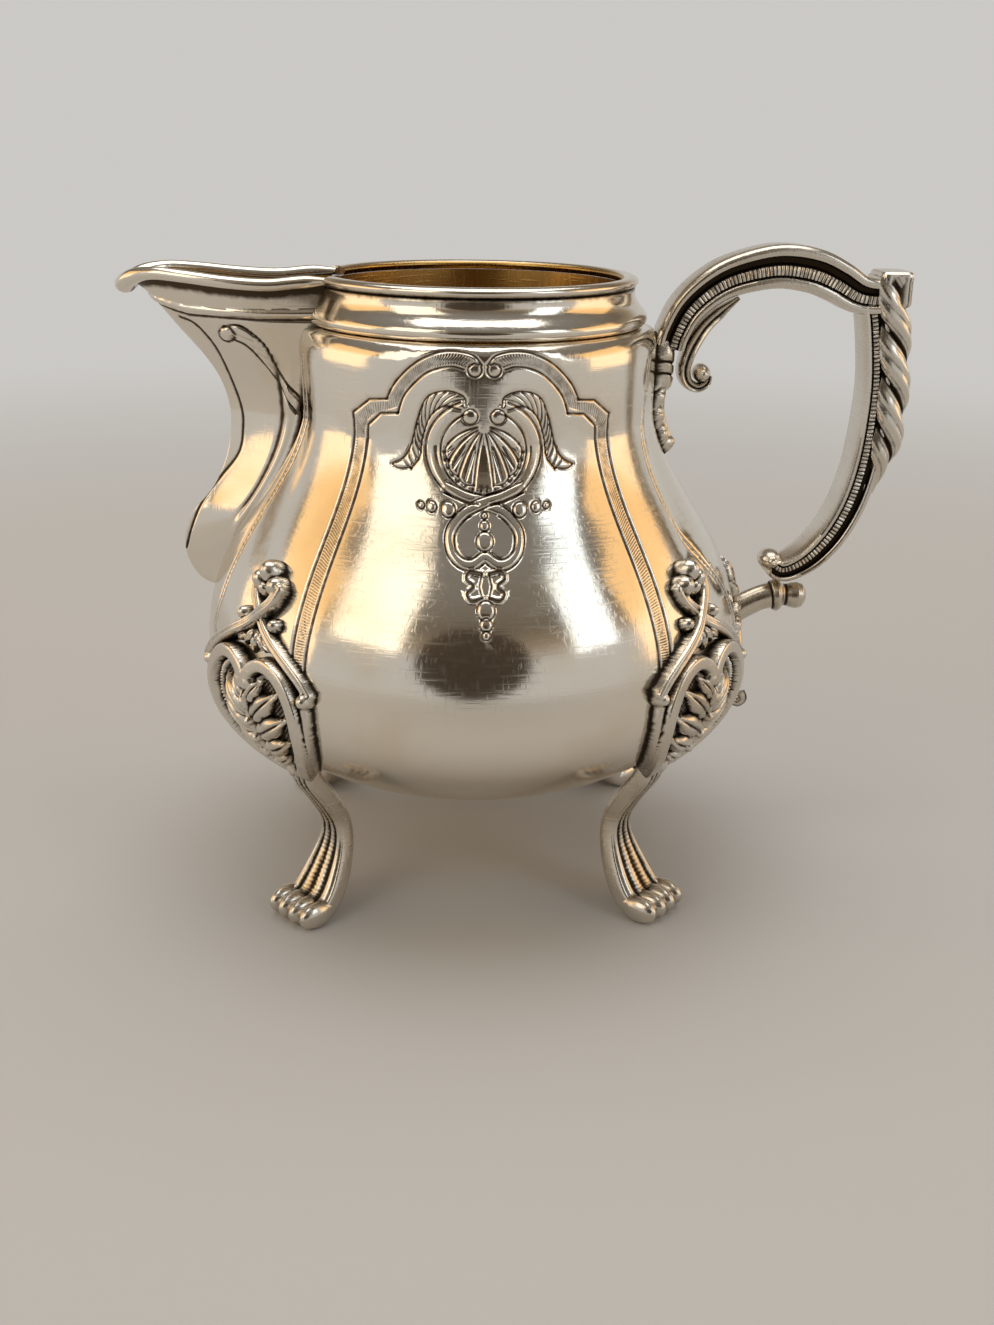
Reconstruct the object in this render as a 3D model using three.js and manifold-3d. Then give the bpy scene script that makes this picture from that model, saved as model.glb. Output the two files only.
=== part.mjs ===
// A silver milk jug: a pear-shaped, creased body on four cast paw legs, with a beaked spout
// and a cast double-scroll handle. Millimetres, +Z up. The spout points along -X and the
// handle along +X. The origin is on the table, under the middle of the jug's box.
import * as THREE from 'three';
import { mergeVertices } from 'three/addons/utils/BufferGeometryUtils.js';
import Module from 'manifold-3d';

const wasm = await Module();
wasm.setup();

// Driving dimensions

const SOLDER_GAP = 0.3; // between pieces that are soldered together

// Body shell
const WALL = 0.9;
const BASE_Z = 16.3; // underside of the body above the table
const BASE_DISC_RADIUS = 8; // flat middle of the underside
const BELLY_Z = 41.3;
const BELLY_RADIUS = 45;
const NECK_Z = 79.3; // where the belly's sweep turns into the straight neck
const NECK_RADIUS = 29;
const SHOULDER_Z = 91.3; // where the neck turns in under the collar
const BODY_TOP_Z = 93.7;
const BODY_TOP_RADIUS = 26.4;
const CREASE_DEPTH = 0.9; // the four soft folds between the panels
const CREASE_WIDTH = 3.2;
const CREASE_NECK_ANGLE = 20; // degrees from the spout and handle axis, at the neck
const BODY_SEGMENTS = 40;

// Collar and rim wire
const COLLAR_HEIGHT = 5.2;
const COLLAR_BEAD_RADIUS = 27.3; // out to the bead at the collar's foot
const COLLAR_WAIST_RADIUS = 25.2;
const MOUTH_RADIUS = 23; // clear opening at the top
const RIM_WIRE_HEIGHT = 2.4;
const RIM_WIRE_RADIUS = 25.7;
const RING_SEGMENTS = 36;

// Spout
const SPOUT_REACH = 56; // lip's tip from the jug's axis
const SPOUT_ROOT_HALF_WIDTH = 8.8; // where the lip leaves the rim
const SPOUT_TAIL_Z = 49.6; // where the keel dies out on the belly
const SPOUT_TAIL_STAND = 9; // keel clear of the body, above the tail
const SPOUT_WAIST_STAND = 10.4; // keel clear of the neck
const SPOUT_WALL = 1.2;
const LIP_WIDTH = 2.0;
const LIP_HEIGHT = 1.6; // at the rim
const LIP_DIP = 0.6; // how far the lip's top sinks beyond the rim
const LIP_RISE = 0.6; // how far its crest stands above the rim's end
const LIP_DROOP = 3.4; // how far the beak's tip hangs down from the crest

// Handle
const HANDLE_REACH = 72.4; // back of the leaf from the jug's axis
const HANDLE_CROWN_Z = 105.6;
const HANDLE_THICKNESS = 7.2; // across, along Y
const UPPER_BAND = 6.0; // the upper scroll's depth at its crown
const LOWER_BAND = 5.2; // the lower scroll's depth at its belly
const LEAF_THICKNESS = 3.4;
const LEAF_BAND = 4.6; // the lower scroll's depth under the leaf
const FOOT_BAND = 4.2; // the lower scroll's depth at its foot
const FOOT_VOLUTE_RADIUS = 2;
const GROOVE_DEPTH = 1.2; // cut along both sides of the scrolls, beside their rails
const SHOULDER_DROP = 3.6; // the handle's square shoulder below its crown
const PLATE_TOP_Z = 89.7; // drop plate on the neck
const PLATE_HEIGHT = 18;
const PLATE_THICKNESS = 3.2;
const UPPER_SPRING = 4.4; // middle of the upper scroll's arc below the plate's top
const CURL_STAND = 7; // middle of the inner scroll's curl from the neck
const CURL_DROP = 6.2; // and below the plate's top
const CURL_BAND = 2.6; // the inner scroll's depth at its widest
const BRANCH_Z = 46.7; // middle of the branch that carries the handle's foot
const BRANCH_RADIUS = 2.2;
const ESCUTCHEON_THICKNESS = 1.2;
const ESCUTCHEON_HALF_WIDTH = 5;
const ESCUTCHEON_RISE = 7; // tip above the branch's middle
const ESCUTCHEON_FALL = 8.5; // tail below it
const VOLUTE_BALL_RADIUS = 1.4;

// Legs
const LEG_ANGLE = 42; // degrees from the spout and handle axis
const FOOT_RADIUS = 37.8; // middle of the paw from the jug's axis
const SHANK_WIDTH = 5;
const SHANK_THICKNESS = 3.4;
const SHANK_TOP_Z = 26.3;
const SHANK_WAIST_Z = 12.3; // where the shank swings furthest in
const SHANK_WAIST_RADIUS = 31.8;
const PAW_WIDTH = 13;
const PAW_HEIGHT = 5;
const TOE_COUNT = 4;
const SHIELD_ANGLE = 39.5; // degrees from the spout and handle axis, a little less than the shank's
const SHIELD_WIDTH = 23.3;
const SHIELD_TOP_Z = 47.4; // top of the two lobes
const SHIELD_NOTCH = 3.4; // depth of the notch between them
const SHIELD_BAND = 2.1; // width of the scrolled frame
const STRAP_WIDTH = 1.9; // the two crossing straps over the lobes
const SHIELD_FIELD_RELIEF = 0.9;
const SHIELD_FRAME_RELIEF = 2.8;
const KNOT_Z = 58.3; // three-lobed flower knot over the crossed straps
const KNOT_RADIUS = 2.9;
const SIDE_BEAD_RADIUS = 1.9;
const SIDE_BEAD_Z = 43.3;

const PAST = HANDLE_REACH * 3; // a length that reaches past the whole jug

const rad = THREE.MathUtils.degToRad;
const lerp = THREE.MathUtils.lerp;
const smooth = THREE.MathUtils.smoothstep;

// Solids

/** A closed geometry as a solid that can be joined and cut. */
function solid(geometry) {
  const bare = geometry.clone();
  bare.deleteAttribute('normal');
  bare.deleteAttribute('uv');
  const merged = mergeVertices(bare, 1e-4);
  return new wasm.Manifold(new wasm.Mesh({
    numProp: 3,
    vertProperties: new Float32Array(merged.attributes.position.array),
    triVerts: new Uint32Array(merged.index.array),
  }));
}

/** A solid's surface as a geometry. */
function surface(made) {
  const mesh = made.getMesh();
  const geometry = new THREE.BufferGeometry();
  geometry.setAttribute('position', new THREE.BufferAttribute(mesh.vertProperties, 3));
  geometry.setIndex(new THREE.BufferAttribute(mesh.triVerts, 1));
  geometry.computeVertexNormals();
  return geometry;
}

/** The solid through a row of closed rings with equal counts of points, with its ends closed. */
function loft(rings) {
  const count = rings[0].length;
  const positions = [];
  const triangles = [];
  rings.forEach((ring) => ring.forEach((p) => positions.push(p.x, p.y, p.z)));
  for (let r = 0; r + 1 < rings.length; r++) {
    for (let i = 0; i < count; i++) {
      const a = r * count + i;
      const b = r * count + ((i + 1) % count);
      triangles.push(a, b, b + count, a, b + count, a + count);
    }
  }
  [0, rings.length - 1].forEach((r) => {
    const middle = rings[r].reduce((sum, p) => sum.add(p), new THREE.Vector3()).divideScalar(count);
    const hub = positions.length / 3;
    positions.push(middle.x, middle.y, middle.z);
    for (let i = 0; i < count; i++) {
      const a = r * count + i;
      const b = r * count + ((i + 1) % count);
      triangles.push(...(r === 0 ? [b, a, hub] : [a, b, hub]));
    }
  });
  const geometry = new THREE.BufferGeometry();
  geometry.setAttribute('position', new THREE.Float32BufferAttribute(positions, 3));
  geometry.setIndex(triangles);
  const made = solid(geometry);
  if (made.volume() > 0) return made;
  for (let i = 0; i < triangles.length; i += 3) {
    [triangles[i], triangles[i + 1]] = [triangles[i + 1], triangles[i]];
  }
  geometry.setIndex(triangles);
  return solid(geometry);
}

/** A ball, stretched along its own axes and moved to its place. */
function ball(radii, place, detail = 8) {
  const geometry = new THREE.SphereGeometry(1, detail, Math.round(detail * 0.7));
  return solid(geometry.scale(...radii).translate(...place));
}

/** An outline in the (Y, Z) plane, pushed along +X from one radius to another. */
function radialPrism(shape, from, to, curveSegments = 6) {
  const depth = to - from;
  const geometry = new THREE.ExtrudeGeometry(shape, { depth, bevelEnabled: false, curveSegments });
  const axes = new THREE.Matrix4().makeBasis(
    new THREE.Vector3(0, 1, 0), new THREE.Vector3(0, 0, 1), new THREE.Vector3(1, 0, 0),
  );
  return solid(geometry.applyMatrix4(axes).translate(from, 0, 0));
}

/** A wide level block between two heights. */
function slab(from, to) {
  return solid(new THREE.BoxGeometry(PAST, PAST, to - from).translate(0, 0, (from + to) / 2));
}

/** A mesh of one piece, with its name and finish. */
function piece(name, made, finish) {
  const mesh = new THREE.Mesh(surface(made), finish);
  mesh.name = name;
  return mesh;
}

// Finishes

const polished = new THREE.MeshStandardMaterial({ color: 0xcfc6b4, roughness: 0.16, metalness: 1 });
const cast = new THREE.MeshStandardMaterial({ color: 0xb3a894, roughness: 0.32, metalness: 1 });

// Body

const bellySweep = new THREE.CubicBezierCurve(
  new THREE.Vector2(BELLY_RADIUS, BELLY_Z),
  new THREE.Vector2(BELLY_RADIUS, lerp(BELLY_Z, NECK_Z, 0.47)),
  new THREE.Vector2(NECK_RADIUS + 2.5, lerp(BELLY_Z, NECK_Z, 0.66)),
  new THREE.Vector2(NECK_RADIUS, NECK_Z),
);

/** The body's outline from the edge of the base disc up to the mouth, as (radius, height) points. */
function bodyOutline(bowlSteps = 6, sweepSteps = 8) {
  const bowl = [];
  const bowlDepth = BELLY_Z - BASE_Z;
  const first = Math.asin(BASE_DISC_RADIUS / BELLY_RADIUS);
  for (let i = 0; i < bowlSteps; i++) {
    const turn = lerp(first, Math.PI / 2, i / bowlSteps);
    bowl.push(new THREE.Vector2(BELLY_RADIUS * Math.sin(turn), BELLY_Z - bowlDepth * Math.cos(turn)));
  }
  const sweep = bellySweep.getPoints(sweepSteps);
  const shoulder = new THREE.QuadraticBezierCurve(
    new THREE.Vector2(NECK_RADIUS, SHOULDER_Z),
    new THREE.Vector2(NECK_RADIUS, BODY_TOP_Z),
    new THREE.Vector2(BODY_TOP_RADIUS, BODY_TOP_Z),
  ).getPoints(3);
  return [...bowl, ...sweep, ...shoulder];
}

/** The plain outline's radius at a height. */
function bodyRadius(z) {
  const outline = bodyOutline();
  const i = outline.findIndex((p) => p.y >= z);
  if (i <= 0) return outline[i < 0 ? outline.length - 1 : 0].x;
  const [low, high] = [outline[i - 1], outline[i]];
  return lerp(low.x, high.x, (z - low.y) / (high.y - low.y));
}

/** How far the folds draw the wall in at an angle from +X and a height. */
function creaseAt(angle, z) {
  const drop = smooth(z, BELLY_Z, NECK_Z);
  const foldAngle = rad(lerp(LEG_ANGLE, CREASE_NECK_ANGLE, drop));
  const fromAxis = Math.asin(Math.min(1, Math.abs(Math.sin(angle))));
  const across = (fromAxis - foldAngle) * bodyRadius(z);
  const fade = smooth(z, BELLY_Z, lerp(BELLY_Z, NECK_Z, 0.4)) * (1 - smooth(z, NECK_Z, SHOULDER_Z));
  return CREASE_DEPTH * fade * Math.exp(-((across / CREASE_WIDTH) ** 2));
}

/** The body filled solid and grown outwards by an offset, seen in a frame turned about the jug's axis. */
function bodySolid(offset, { coarse = false, top = BODY_TOP_Z, turn = 0 } = {}) {
  const outline = coarse ? bodyOutline(5, 6) : bodyOutline();
  const rings = outline.map((p, i) => {
    const before = outline[Math.max(0, i - 1)];
    const after = outline[Math.min(outline.length - 1, i + 1)];
    const normal = new THREE.Vector2(after.y - before.y, before.x - after.x).normalize();
    if (i === 0) normal.set(0, -1);
    const radius = p.x + normal.x * offset;
    const z = i + 1 === outline.length ? top : p.y + normal.y * offset;
    return Array.from({ length: BODY_SEGMENTS }, (_, s) => {
      const angle = (2 * Math.PI * s) / BODY_SEGMENTS;
      const r = radius - creaseAt(angle + turn, p.y);
      return new THREE.Vector3(r * Math.cos(angle), r * Math.sin(angle), z);
    });
  });
  return loft(rings);
}

const aroundBody = bodySolid(SOLDER_GAP, { top: BODY_TOP_Z + SOLDER_GAP });

// Spout

const lipBaseZ = BODY_TOP_Z + COLLAR_HEIGHT + 0.7; // flat seat of the lip on the spout's wall
const rootX = MOUTH_RADIUS + 1.5;
const wireMiddle = (MOUTH_RADIUS + RIM_WIRE_RADIUS) / 2;
const wireHalf = RIM_WIRE_RADIUS - wireMiddle;

/** The keel's distance from the jug's axis at a height. */
function keelAt(z) {
  const stand = new THREE.SplineCurve([
    new THREE.Vector2(0, SPOUT_TAIL_Z),
    new THREE.Vector2(SPOUT_TAIL_STAND * 0.62, lerp(SPOUT_TAIL_Z, NECK_Z, 0.13)),
    new THREE.Vector2(SPOUT_TAIL_STAND * 0.88, lerp(SPOUT_TAIL_Z, NECK_Z, 0.25)),
    new THREE.Vector2(SPOUT_TAIL_STAND, lerp(SPOUT_TAIL_Z, NECK_Z, 0.41)),
    new THREE.Vector2(SPOUT_TAIL_STAND * 0.92, lerp(SPOUT_TAIL_Z, NECK_Z, 0.6)),
    new THREE.Vector2(SPOUT_WAIST_STAND, NECK_Z - 2),
    new THREE.Vector2(SPOUT_WAIST_STAND + 3, lerp(NECK_Z, lipBaseZ, 0.35)),
    new THREE.Vector2(SPOUT_REACH - LIP_WIDTH - NECK_RADIUS, lipBaseZ),
  ]).getPoints(60);
  const i = Math.max(1, stand.findIndex((p) => p.y >= z - 1e-6));
  const share = (z - stand[i - 1].y) / (stand[i].y - stand[i - 1].y);
  const wallRadius = bodyRadius(Math.min(z, SHOULDER_Z));
  return wallRadius + lerp(stand[i - 1].x, stand[i].x, share);
}

/** Half the spout's width where it meets the body, at a height. */
function spoutHalfWidth(z) {
  const kneeZ = lerp(SPOUT_TAIL_Z, NECK_Z, 0.6);
  const low = SPOUT_ROOT_HALF_WIDTH * lerp(0.09, 0.75, smooth(z, SPOUT_TAIL_Z, kneeZ));
  return lerp(low, SPOUT_ROOT_HALF_WIDTH, smooth(z, kneeZ, lipBaseZ));
}

/** One side of the spout's plan at a height, from its root to the keel, drawn in by an inset. */
function spoutSide(z, inset, count) {
  const full = smooth(z, NECK_Z, lipBaseZ);
  const keel = keelAt(z) - inset * lerp(2.2, 1, full);
  const half = Math.max(0.2, spoutHalfWidth(z) - inset);
  const start = Math.min(rootX, keel - 1);
  const wall = Math.min(keel - 0.5, Math.max(start, bodyRadius(Math.min(z, SHOULDER_Z)) - 1));
  const side = new THREE.CubicBezierCurve(
    new THREE.Vector2(lerp(wall, start, full), half),
    new THREE.Vector2(lerp(wall, keel, 0.3), half * lerp(0.75, 1.12, full)),
    new THREE.Vector2(lerp(wall, keel, lerp(0.7, 0.99, full)), half * lerp(0.2, 0.9, full)),
    new THREE.Vector2(keel, 0.35),
  ).getPoints(count);
  return [new THREE.Vector2(start - 4, half), ...side];
}

/** How far the spout's top edge hangs down towards the beak, by its distance from the jug's axis. */
function droopAt(x) {
  const crestX = lerp(rootX, SPOUT_REACH, 0.8);
  return LIP_DROOP * (Math.max(0, x - crestX) / (SPOUT_REACH - crestX)) ** 2;
}

/** The spout's outer form, or with an inset its inside, as one solid from the tail to the lip's seat. */
function spoutForm(inset, bottom, top) {
  const levels = 11;
  const rings = Array.from({ length: levels + 1 }, (_, i) => {
    const z = lerp(bottom, top, i / levels);
    const side = spoutSide(Math.min(z, lipBaseZ), inset, 5);
    const heightAt = (x) => z - droopAt(x) * smooth(z, SHOULDER_Z, lipBaseZ);
    const near = side.map((p) => new THREE.Vector3(-p.x, -p.y, heightAt(p.x)));
    const far = side.map((p) => new THREE.Vector3(-p.x, p.y, heightAt(p.x))).reverse();
    return [...near, ...far];
  });
  return loft(rings);
}

const spoutOuter = spoutForm(0, SPOUT_TAIL_Z, lipBaseZ);
const spoutAround = spoutForm(-SOLDER_GAP, SPOUT_TAIL_Z, lipBaseZ + RIM_WIRE_HEIGHT + LIP_RISE);
const channelFloorZ = lerp(SPOUT_TAIL_Z, NECK_Z, 0.55);
const channel = spoutForm(SPOUT_WALL, channelFloorZ, lipBaseZ + 0.5);

const bodyInside = bodySolid(-WALL, { coarse: true, top: BODY_TOP_Z + 1 });
const boreBottomZ = SHOULDER_Z;
const mouthBore = solid(new THREE.CylinderGeometry(MOUTH_RADIUS, MOUTH_RADIUS, PAST, RING_SEGMENTS)
  .rotateX(Math.PI / 2).translate(0, 0, boreBottomZ + PAST / 2));
const bodyShell = bodySolid(0).subtract(bodyInside.add(mouthBore)).subtract(channel);
const spoutWall = spoutOuter.subtract(channel).subtract(aroundBody).subtract(mouthBore);

/** The lip's line in plan from its root on one side to the tip. */
const lipSide = new THREE.CubicBezierCurve(
  new THREE.Vector2(Math.sqrt(wireMiddle ** 2 - SPOUT_ROOT_HALF_WIDTH ** 2), SPOUT_ROOT_HALF_WIDTH),
  new THREE.Vector2(rootX + 8, SPOUT_ROOT_HALF_WIDTH * 1.16),
  new THREE.Vector2(SPOUT_REACH - LIP_WIDTH / 2 - 0.2, SPOUT_ROOT_HALF_WIDTH * 0.96),
  new THREE.Vector2(SPOUT_REACH - LIP_WIDTH / 2, 0),
);

/** The rolled lip round the spout's top edge. */
function spoutLip() {
  const half = lipSide.getSpacedPoints(10);
  const far = half.slice(0, -1).reverse();
  const line = [...half.map((p) => [p.x, -p.y]), ...far.map((p) => [p.x, p.y])];
  const rings = line.map(([x, y], i) => {
    const before = line[Math.max(0, i - 1)];
    const after = line[Math.min(line.length - 1, i + 1)];
    const out = new THREE.Vector2(after[1] - before[1], before[0] - after[0]).normalize();
    const along = Math.max(0, (x - rootX) / (SPOUT_REACH - rootX));
    const dip = Math.sin(Math.PI * Math.min(1, along * 2)) ** 2;
    const height = LIP_HEIGHT - LIP_DIP * dip + LIP_RISE * smooth(along, 0.4, 0.8);
    const section = [[-0.5, 0], [0.5, 0], [0.62, 0.5], [0.3, 1], [-0.3, 1], [-0.5, 0.6]];
    return section.map(([across, up]) => {
      const place = new THREE.Vector2(x, y).addScaledVector(out, across * LIP_WIDTH);
      const z = lipBaseZ + SOLDER_GAP + up * height - droopAt(place.x);
      return new THREE.Vector3(-place.x, place.y, z);
    });
  });
  return loft(rings);
}

// Collar and rim wire

/** A ring turned from a closed outline of (radius, height) points, open where the spout passes. */
function mouthRing(outline) {
  const points = outline.map(([r, z]) => new THREE.Vector2(r, z));
  const ring = new THREE.LatheGeometry([...points, points[0]], RING_SEGMENTS).rotateX(Math.PI / 2);
  return solid(ring).subtract(spoutAround);
}

const collarTopZ = BODY_TOP_Z + COLLAR_HEIGHT;
const neckCollar = mouthRing([
  [MOUTH_RADIUS, BODY_TOP_Z],
  [COLLAR_BEAD_RADIUS - 0.9, BODY_TOP_Z],
  [COLLAR_BEAD_RADIUS, BODY_TOP_Z + 0.9],
  [COLLAR_BEAD_RADIUS, BODY_TOP_Z + 2.0],
  [COLLAR_BEAD_RADIUS - 0.9, BODY_TOP_Z + 2.9],
  [lerp(COLLAR_WAIST_RADIUS, COLLAR_BEAD_RADIUS, 0.3), BODY_TOP_Z + 3.8],
  [COLLAR_WAIST_RADIUS, collarTopZ],
  [MOUTH_RADIUS, collarTopZ],
]);

const passageWidth = SPOUT_ROOT_HALF_WIDTH * 2 + LIP_WIDTH * 1.24 + SOLDER_GAP * 2;
const lipPassage = solid(new THREE.BoxGeometry(PAST, passageWidth, PAST).translate(-PAST / 2, 0, 0));
const rimWire = mouthRing(Array.from({ length: 7 }, (_, i) => {
  const turn = Math.PI * (i / 6);
  return [
    wireMiddle + wireHalf * Math.cos(turn),
    collarTopZ + RIM_WIRE_HEIGHT * Math.sin(turn) ** 0.6,
  ];
})).subtract(lipPassage);

// Handle

const neckFace = bodyRadius(PLATE_TOP_Z);
const backLine = HANDLE_REACH - LEAF_THICKNESS - SOLDER_GAP - LEAF_BAND / 2;
const crownMiddleZ = HANDLE_CROWN_Z - UPPER_BAND / 2;
const footZ = BRANCH_Z + BRANCH_RADIUS + SOLDER_GAP + FOOT_BAND / 2;
const footX = lerp(bodyRadius(BRANCH_Z), HANDLE_REACH, 0.36);
const shoulderTopZ = HANDLE_CROWN_Z - SHOULDER_DROP;

/** Points with their outward normals along a line in the handle's plane, and the band's depth at each. */
function bandStations(points, depths, count) {
  const line = new THREE.SplineCurve(points.map(([x, z]) => new THREE.Vector2(x, z)));
  return Array.from({ length: count + 1 }, (_, i) => {
    const t = i / count;
    const place = Math.min(t * (depths.length - 1), depths.length - 1.000001);
    const k = Math.floor(place);
    const tangent = line.getTangent(t);
    return {
      at: line.getPoint(t),
      out: new THREE.Vector2(-tangent.y, tangent.x),
      depth: lerp(depths[k], depths[k + 1], place - k),
    };
  });
}

/** One side of the scrolls' section from the outer to the inner rail: shares of the depth, and cuts. */
const groovedSide = [
  [0.5, 1], [0.36, 0], [0.22, 1], [0.08, 0.42], [-0.1, 0.42], [-0.22, 1], [-0.36, 0.17], [-0.5, 1.08],
].map(([share, cut]) => [share, cut * GROOVE_DEPTH]);
const plainSide = [[0.5, 0], [-0.5, 0]];

/** A band swept through its stations with a section that is alike on both sides. */
function band(stations, side, thickness, grow = 0) {
  return loft(stations.map(({ at, out, depth }) => {
    const place = (share, y) => {
      const n = share * (depth + 2 * grow);
      return new THREE.Vector3(at.x + out.x * n, y, at.y + out.y * n);
    };
    const near = side.map(([share, cut]) => place(share, -(thickness / 2 + grow - cut)));
    const far = side.map(([share, cut]) => place(share, thickness / 2 + grow - cut)).reverse();
    return [...near, ...far];
  }));
}

const upperCentre = new THREE.Vector2(lerp(neckFace, HANDLE_REACH, 0.465), PLATE_TOP_Z - UPPER_SPRING);
const upperHalf = upperCentre.x - neckFace - PLATE_THICKNESS;
const upperRise = crownMiddleZ - upperCentre.y;
const upperArc = [166, 145, 125, 105, 88, 70, 54].map((a) => [
  upperCentre.x + upperHalf * Math.cos(rad(a)), upperCentre.y + upperRise * Math.sin(rad(a)),
]);
const upperEndZ = shoulderTopZ - LEAF_BAND * 0.72;
const upperLine = [...upperArc, [lerp(upperArc[6][0], backLine, 0.6), upperEndZ], [backLine, upperEndZ]];
const upperDepths = [0.66, 0.66, 0.78, 0.96, 1.06, 1.12, 1.08, 0.8, 0.66].map((share) => share * UPPER_BAND);
const upperStations = bandStations(upperLine, upperDepths, 18);

const lowerZ = (share) => lerp(footZ, shoulderTopZ, share);
const lowerX = (share) => lerp(footX, backLine, share);
const lowerLine = [
  [lowerX(0.84), lowerZ(1)], [lowerX(0.93), lowerZ(0.82)], [lowerX(1), lowerZ(0.665)],
  [lowerX(0.99), lowerZ(0.525)], [lowerX(0.94), lowerZ(0.39)], [lowerX(0.84), lowerZ(0.265)],
  [lowerX(0.62), lowerZ(0.158)], [lowerX(0.33), lowerZ(0.072)], [lowerX(0.09), lowerZ(0.015)],
  [lowerX(-0.1), footZ], [lowerX(-0.27), lowerZ(0.017)],
];
const lowerStations = bandStations(lowerLine, [
  LEAF_BAND, LEAF_BAND, LEAF_BAND, LEAF_BAND * 1.03, LOWER_BAND, LOWER_BAND * 0.98, LOWER_BAND * 0.96,
  LOWER_BAND * 0.92, LOWER_BAND * 0.85, FOOT_BAND, FOOT_BAND * 0.8,
], 22);

/** The drop plate's outline on the neck, grown by a clearance and pushed through the wall. */
function platePrism(grow) {
  const [low, high] = [PLATE_TOP_Z - PLATE_HEIGHT - grow, PLATE_TOP_Z + grow];
  const wide = HANDLE_THICKNESS / 2 + grow;
  const at = (share) => lerp(low, high, share);
  const shape = new THREE.Shape();
  shape.moveTo(0, low);
  shape.bezierCurveTo(wide * 0.7, at(0.2), wide * 0.4, at(0.5), wide * 0.8, at(0.62));
  shape.bezierCurveTo(wide * 1.1, at(0.75), wide * 1.1, high, wide * 0.5, high);
  shape.lineTo(-wide * 0.5, high);
  shape.bezierCurveTo(-wide * 1.1, high, -wide * 1.1, at(0.75), -wide * 0.8, at(0.62));
  shape.bezierCurveTo(-wide * 0.4, at(0.5), -wide * 0.7, at(0.2), 0, low);
  return radialPrism(shape, NECK_RADIUS * 0.5, BELLY_RADIUS * 1.2);
}

/** The drop plate, thick at its head and thin along its tail, grown by a clearance. */
function platePart(grow) {
  const aboveTail = slab(PLATE_TOP_Z - PLATE_HEIGHT * 0.4 - grow, PAST);
  const head = aboveTail.intersect(bodySolid(PLATE_THICKNESS + grow));
  return platePrism(grow).intersect(head.add(bodySolid(PLATE_THICKNESS * 0.45 + grow)));
}

const dropPlate = platePart(0).subtract(aroundBody);
const aroundPlate = platePart(SOLDER_GAP).add(aroundBody);

const footVolute = solid(new THREE.CylinderGeometry(
  FOOT_VOLUTE_RADIUS, FOOT_VOLUTE_RADIUS, HANDLE_THICKNESS * 0.92, 14,
).translate(footX - FOOT_VOLUTE_RADIUS * 1.55, 0, footZ + FOOT_VOLUTE_RADIUS * 0.6));

const branchLine = new THREE.CatmullRomCurve3([
  new THREE.Vector3(bodyRadius(BRANCH_Z) - BRANCH_RADIUS * 1.36, 0, BRANCH_Z - BRANCH_RADIUS * 2.1),
  new THREE.Vector3(lerp(bodyRadius(BRANCH_Z), footX, 0.3), 0, BRANCH_Z - BRANCH_RADIUS * 0.55),
  new THREE.Vector3(lerp(bodyRadius(BRANCH_Z), footX, 0.65), 0, BRANCH_Z),
  new THREE.Vector3(footX, 0, BRANCH_Z),
  new THREE.Vector3(footX + BRANCH_RADIUS * 1.55, 0, BRANCH_Z - BRANCH_RADIUS * 0.23),
]);

/** The turned branch from the belly, with a ring and an end knob, grown by a clearance. */
function branch(grow) {
  const shares = [0.95, 0.95, 0.98, 1, 1, 1, 1, 1, 0.98, 0.95, 0.8, 0.8, 1.12, 1.12, 0.75, 0.95, 0.95, 0.6];
  return loft(shares.map((share, i) => {
    const t = i < 10 ? lerp(0, 0.76, i / 9) : lerp(0.78, 1, (i - 10) / 7);
    const middle = branchLine.getPoint(t);
    const tangent = branchLine.getTangent(t);
    const radius = BRANCH_RADIUS * share + grow;
    return Array.from({ length: 12 }, (_, s) => {
      const turn = (2 * Math.PI * s) / 12;
      const [up, across] = [radius * Math.cos(turn), radius * Math.sin(turn)];
      return new THREE.Vector3(middle.x - tangent.z * up, across, middle.z + tangent.x * up);
    });
  }));
}

/** The leafy plate round the branch's root, alike on both sides. */
function escutcheonPlate() {
  const [wide, rise, fall] = [ESCUTCHEON_HALF_WIDTH, ESCUTCHEON_RISE, ESCUTCHEON_FALL];
  const shape = new THREE.Shape();
  shape.moveTo(0, BRANCH_Z - fall);
  const [hipZ, armZ] = [BRANCH_Z - fall * 0.7, BRANCH_Z + rise * 0.43];
  shape.bezierCurveTo(wide * 0.4, hipZ, wide * 1.3, hipZ, wide, BRANCH_Z - fall * 0.12);
  shape.bezierCurveTo(wide * 1.3, armZ, wide * 0.5, armZ, 0, BRANCH_Z + rise);
  const points = shape.getPoints(6);
  const mirrored = points.slice(1, -1).reverse().map((p) => new THREE.Vector2(-p.x, p.y));
  return radialPrism(new THREE.Shape([...points, ...mirrored]), BELLY_RADIUS * 0.5, BELLY_RADIUS * 1.2);
}

const escutcheon = escutcheonPlate().intersect(bodySolid(ESCUTCHEON_THICKNESS + SOLDER_GAP))
  .subtract(aroundBody).subtract(branch(SOLDER_GAP));

const lowerPlain = band(lowerStations, plainSide, HANDLE_THICKNESS, SOLDER_GAP);
const lowerScroll = band(lowerStations, groovedSide, HANDLE_THICKNESS)
  .add(footVolute).subtract(branch(SOLDER_GAP));
const upperScroll = band(upperStations, groovedSide, HANDLE_THICKNESS)
  .subtract(lowerPlain).subtract(aroundPlate);

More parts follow.
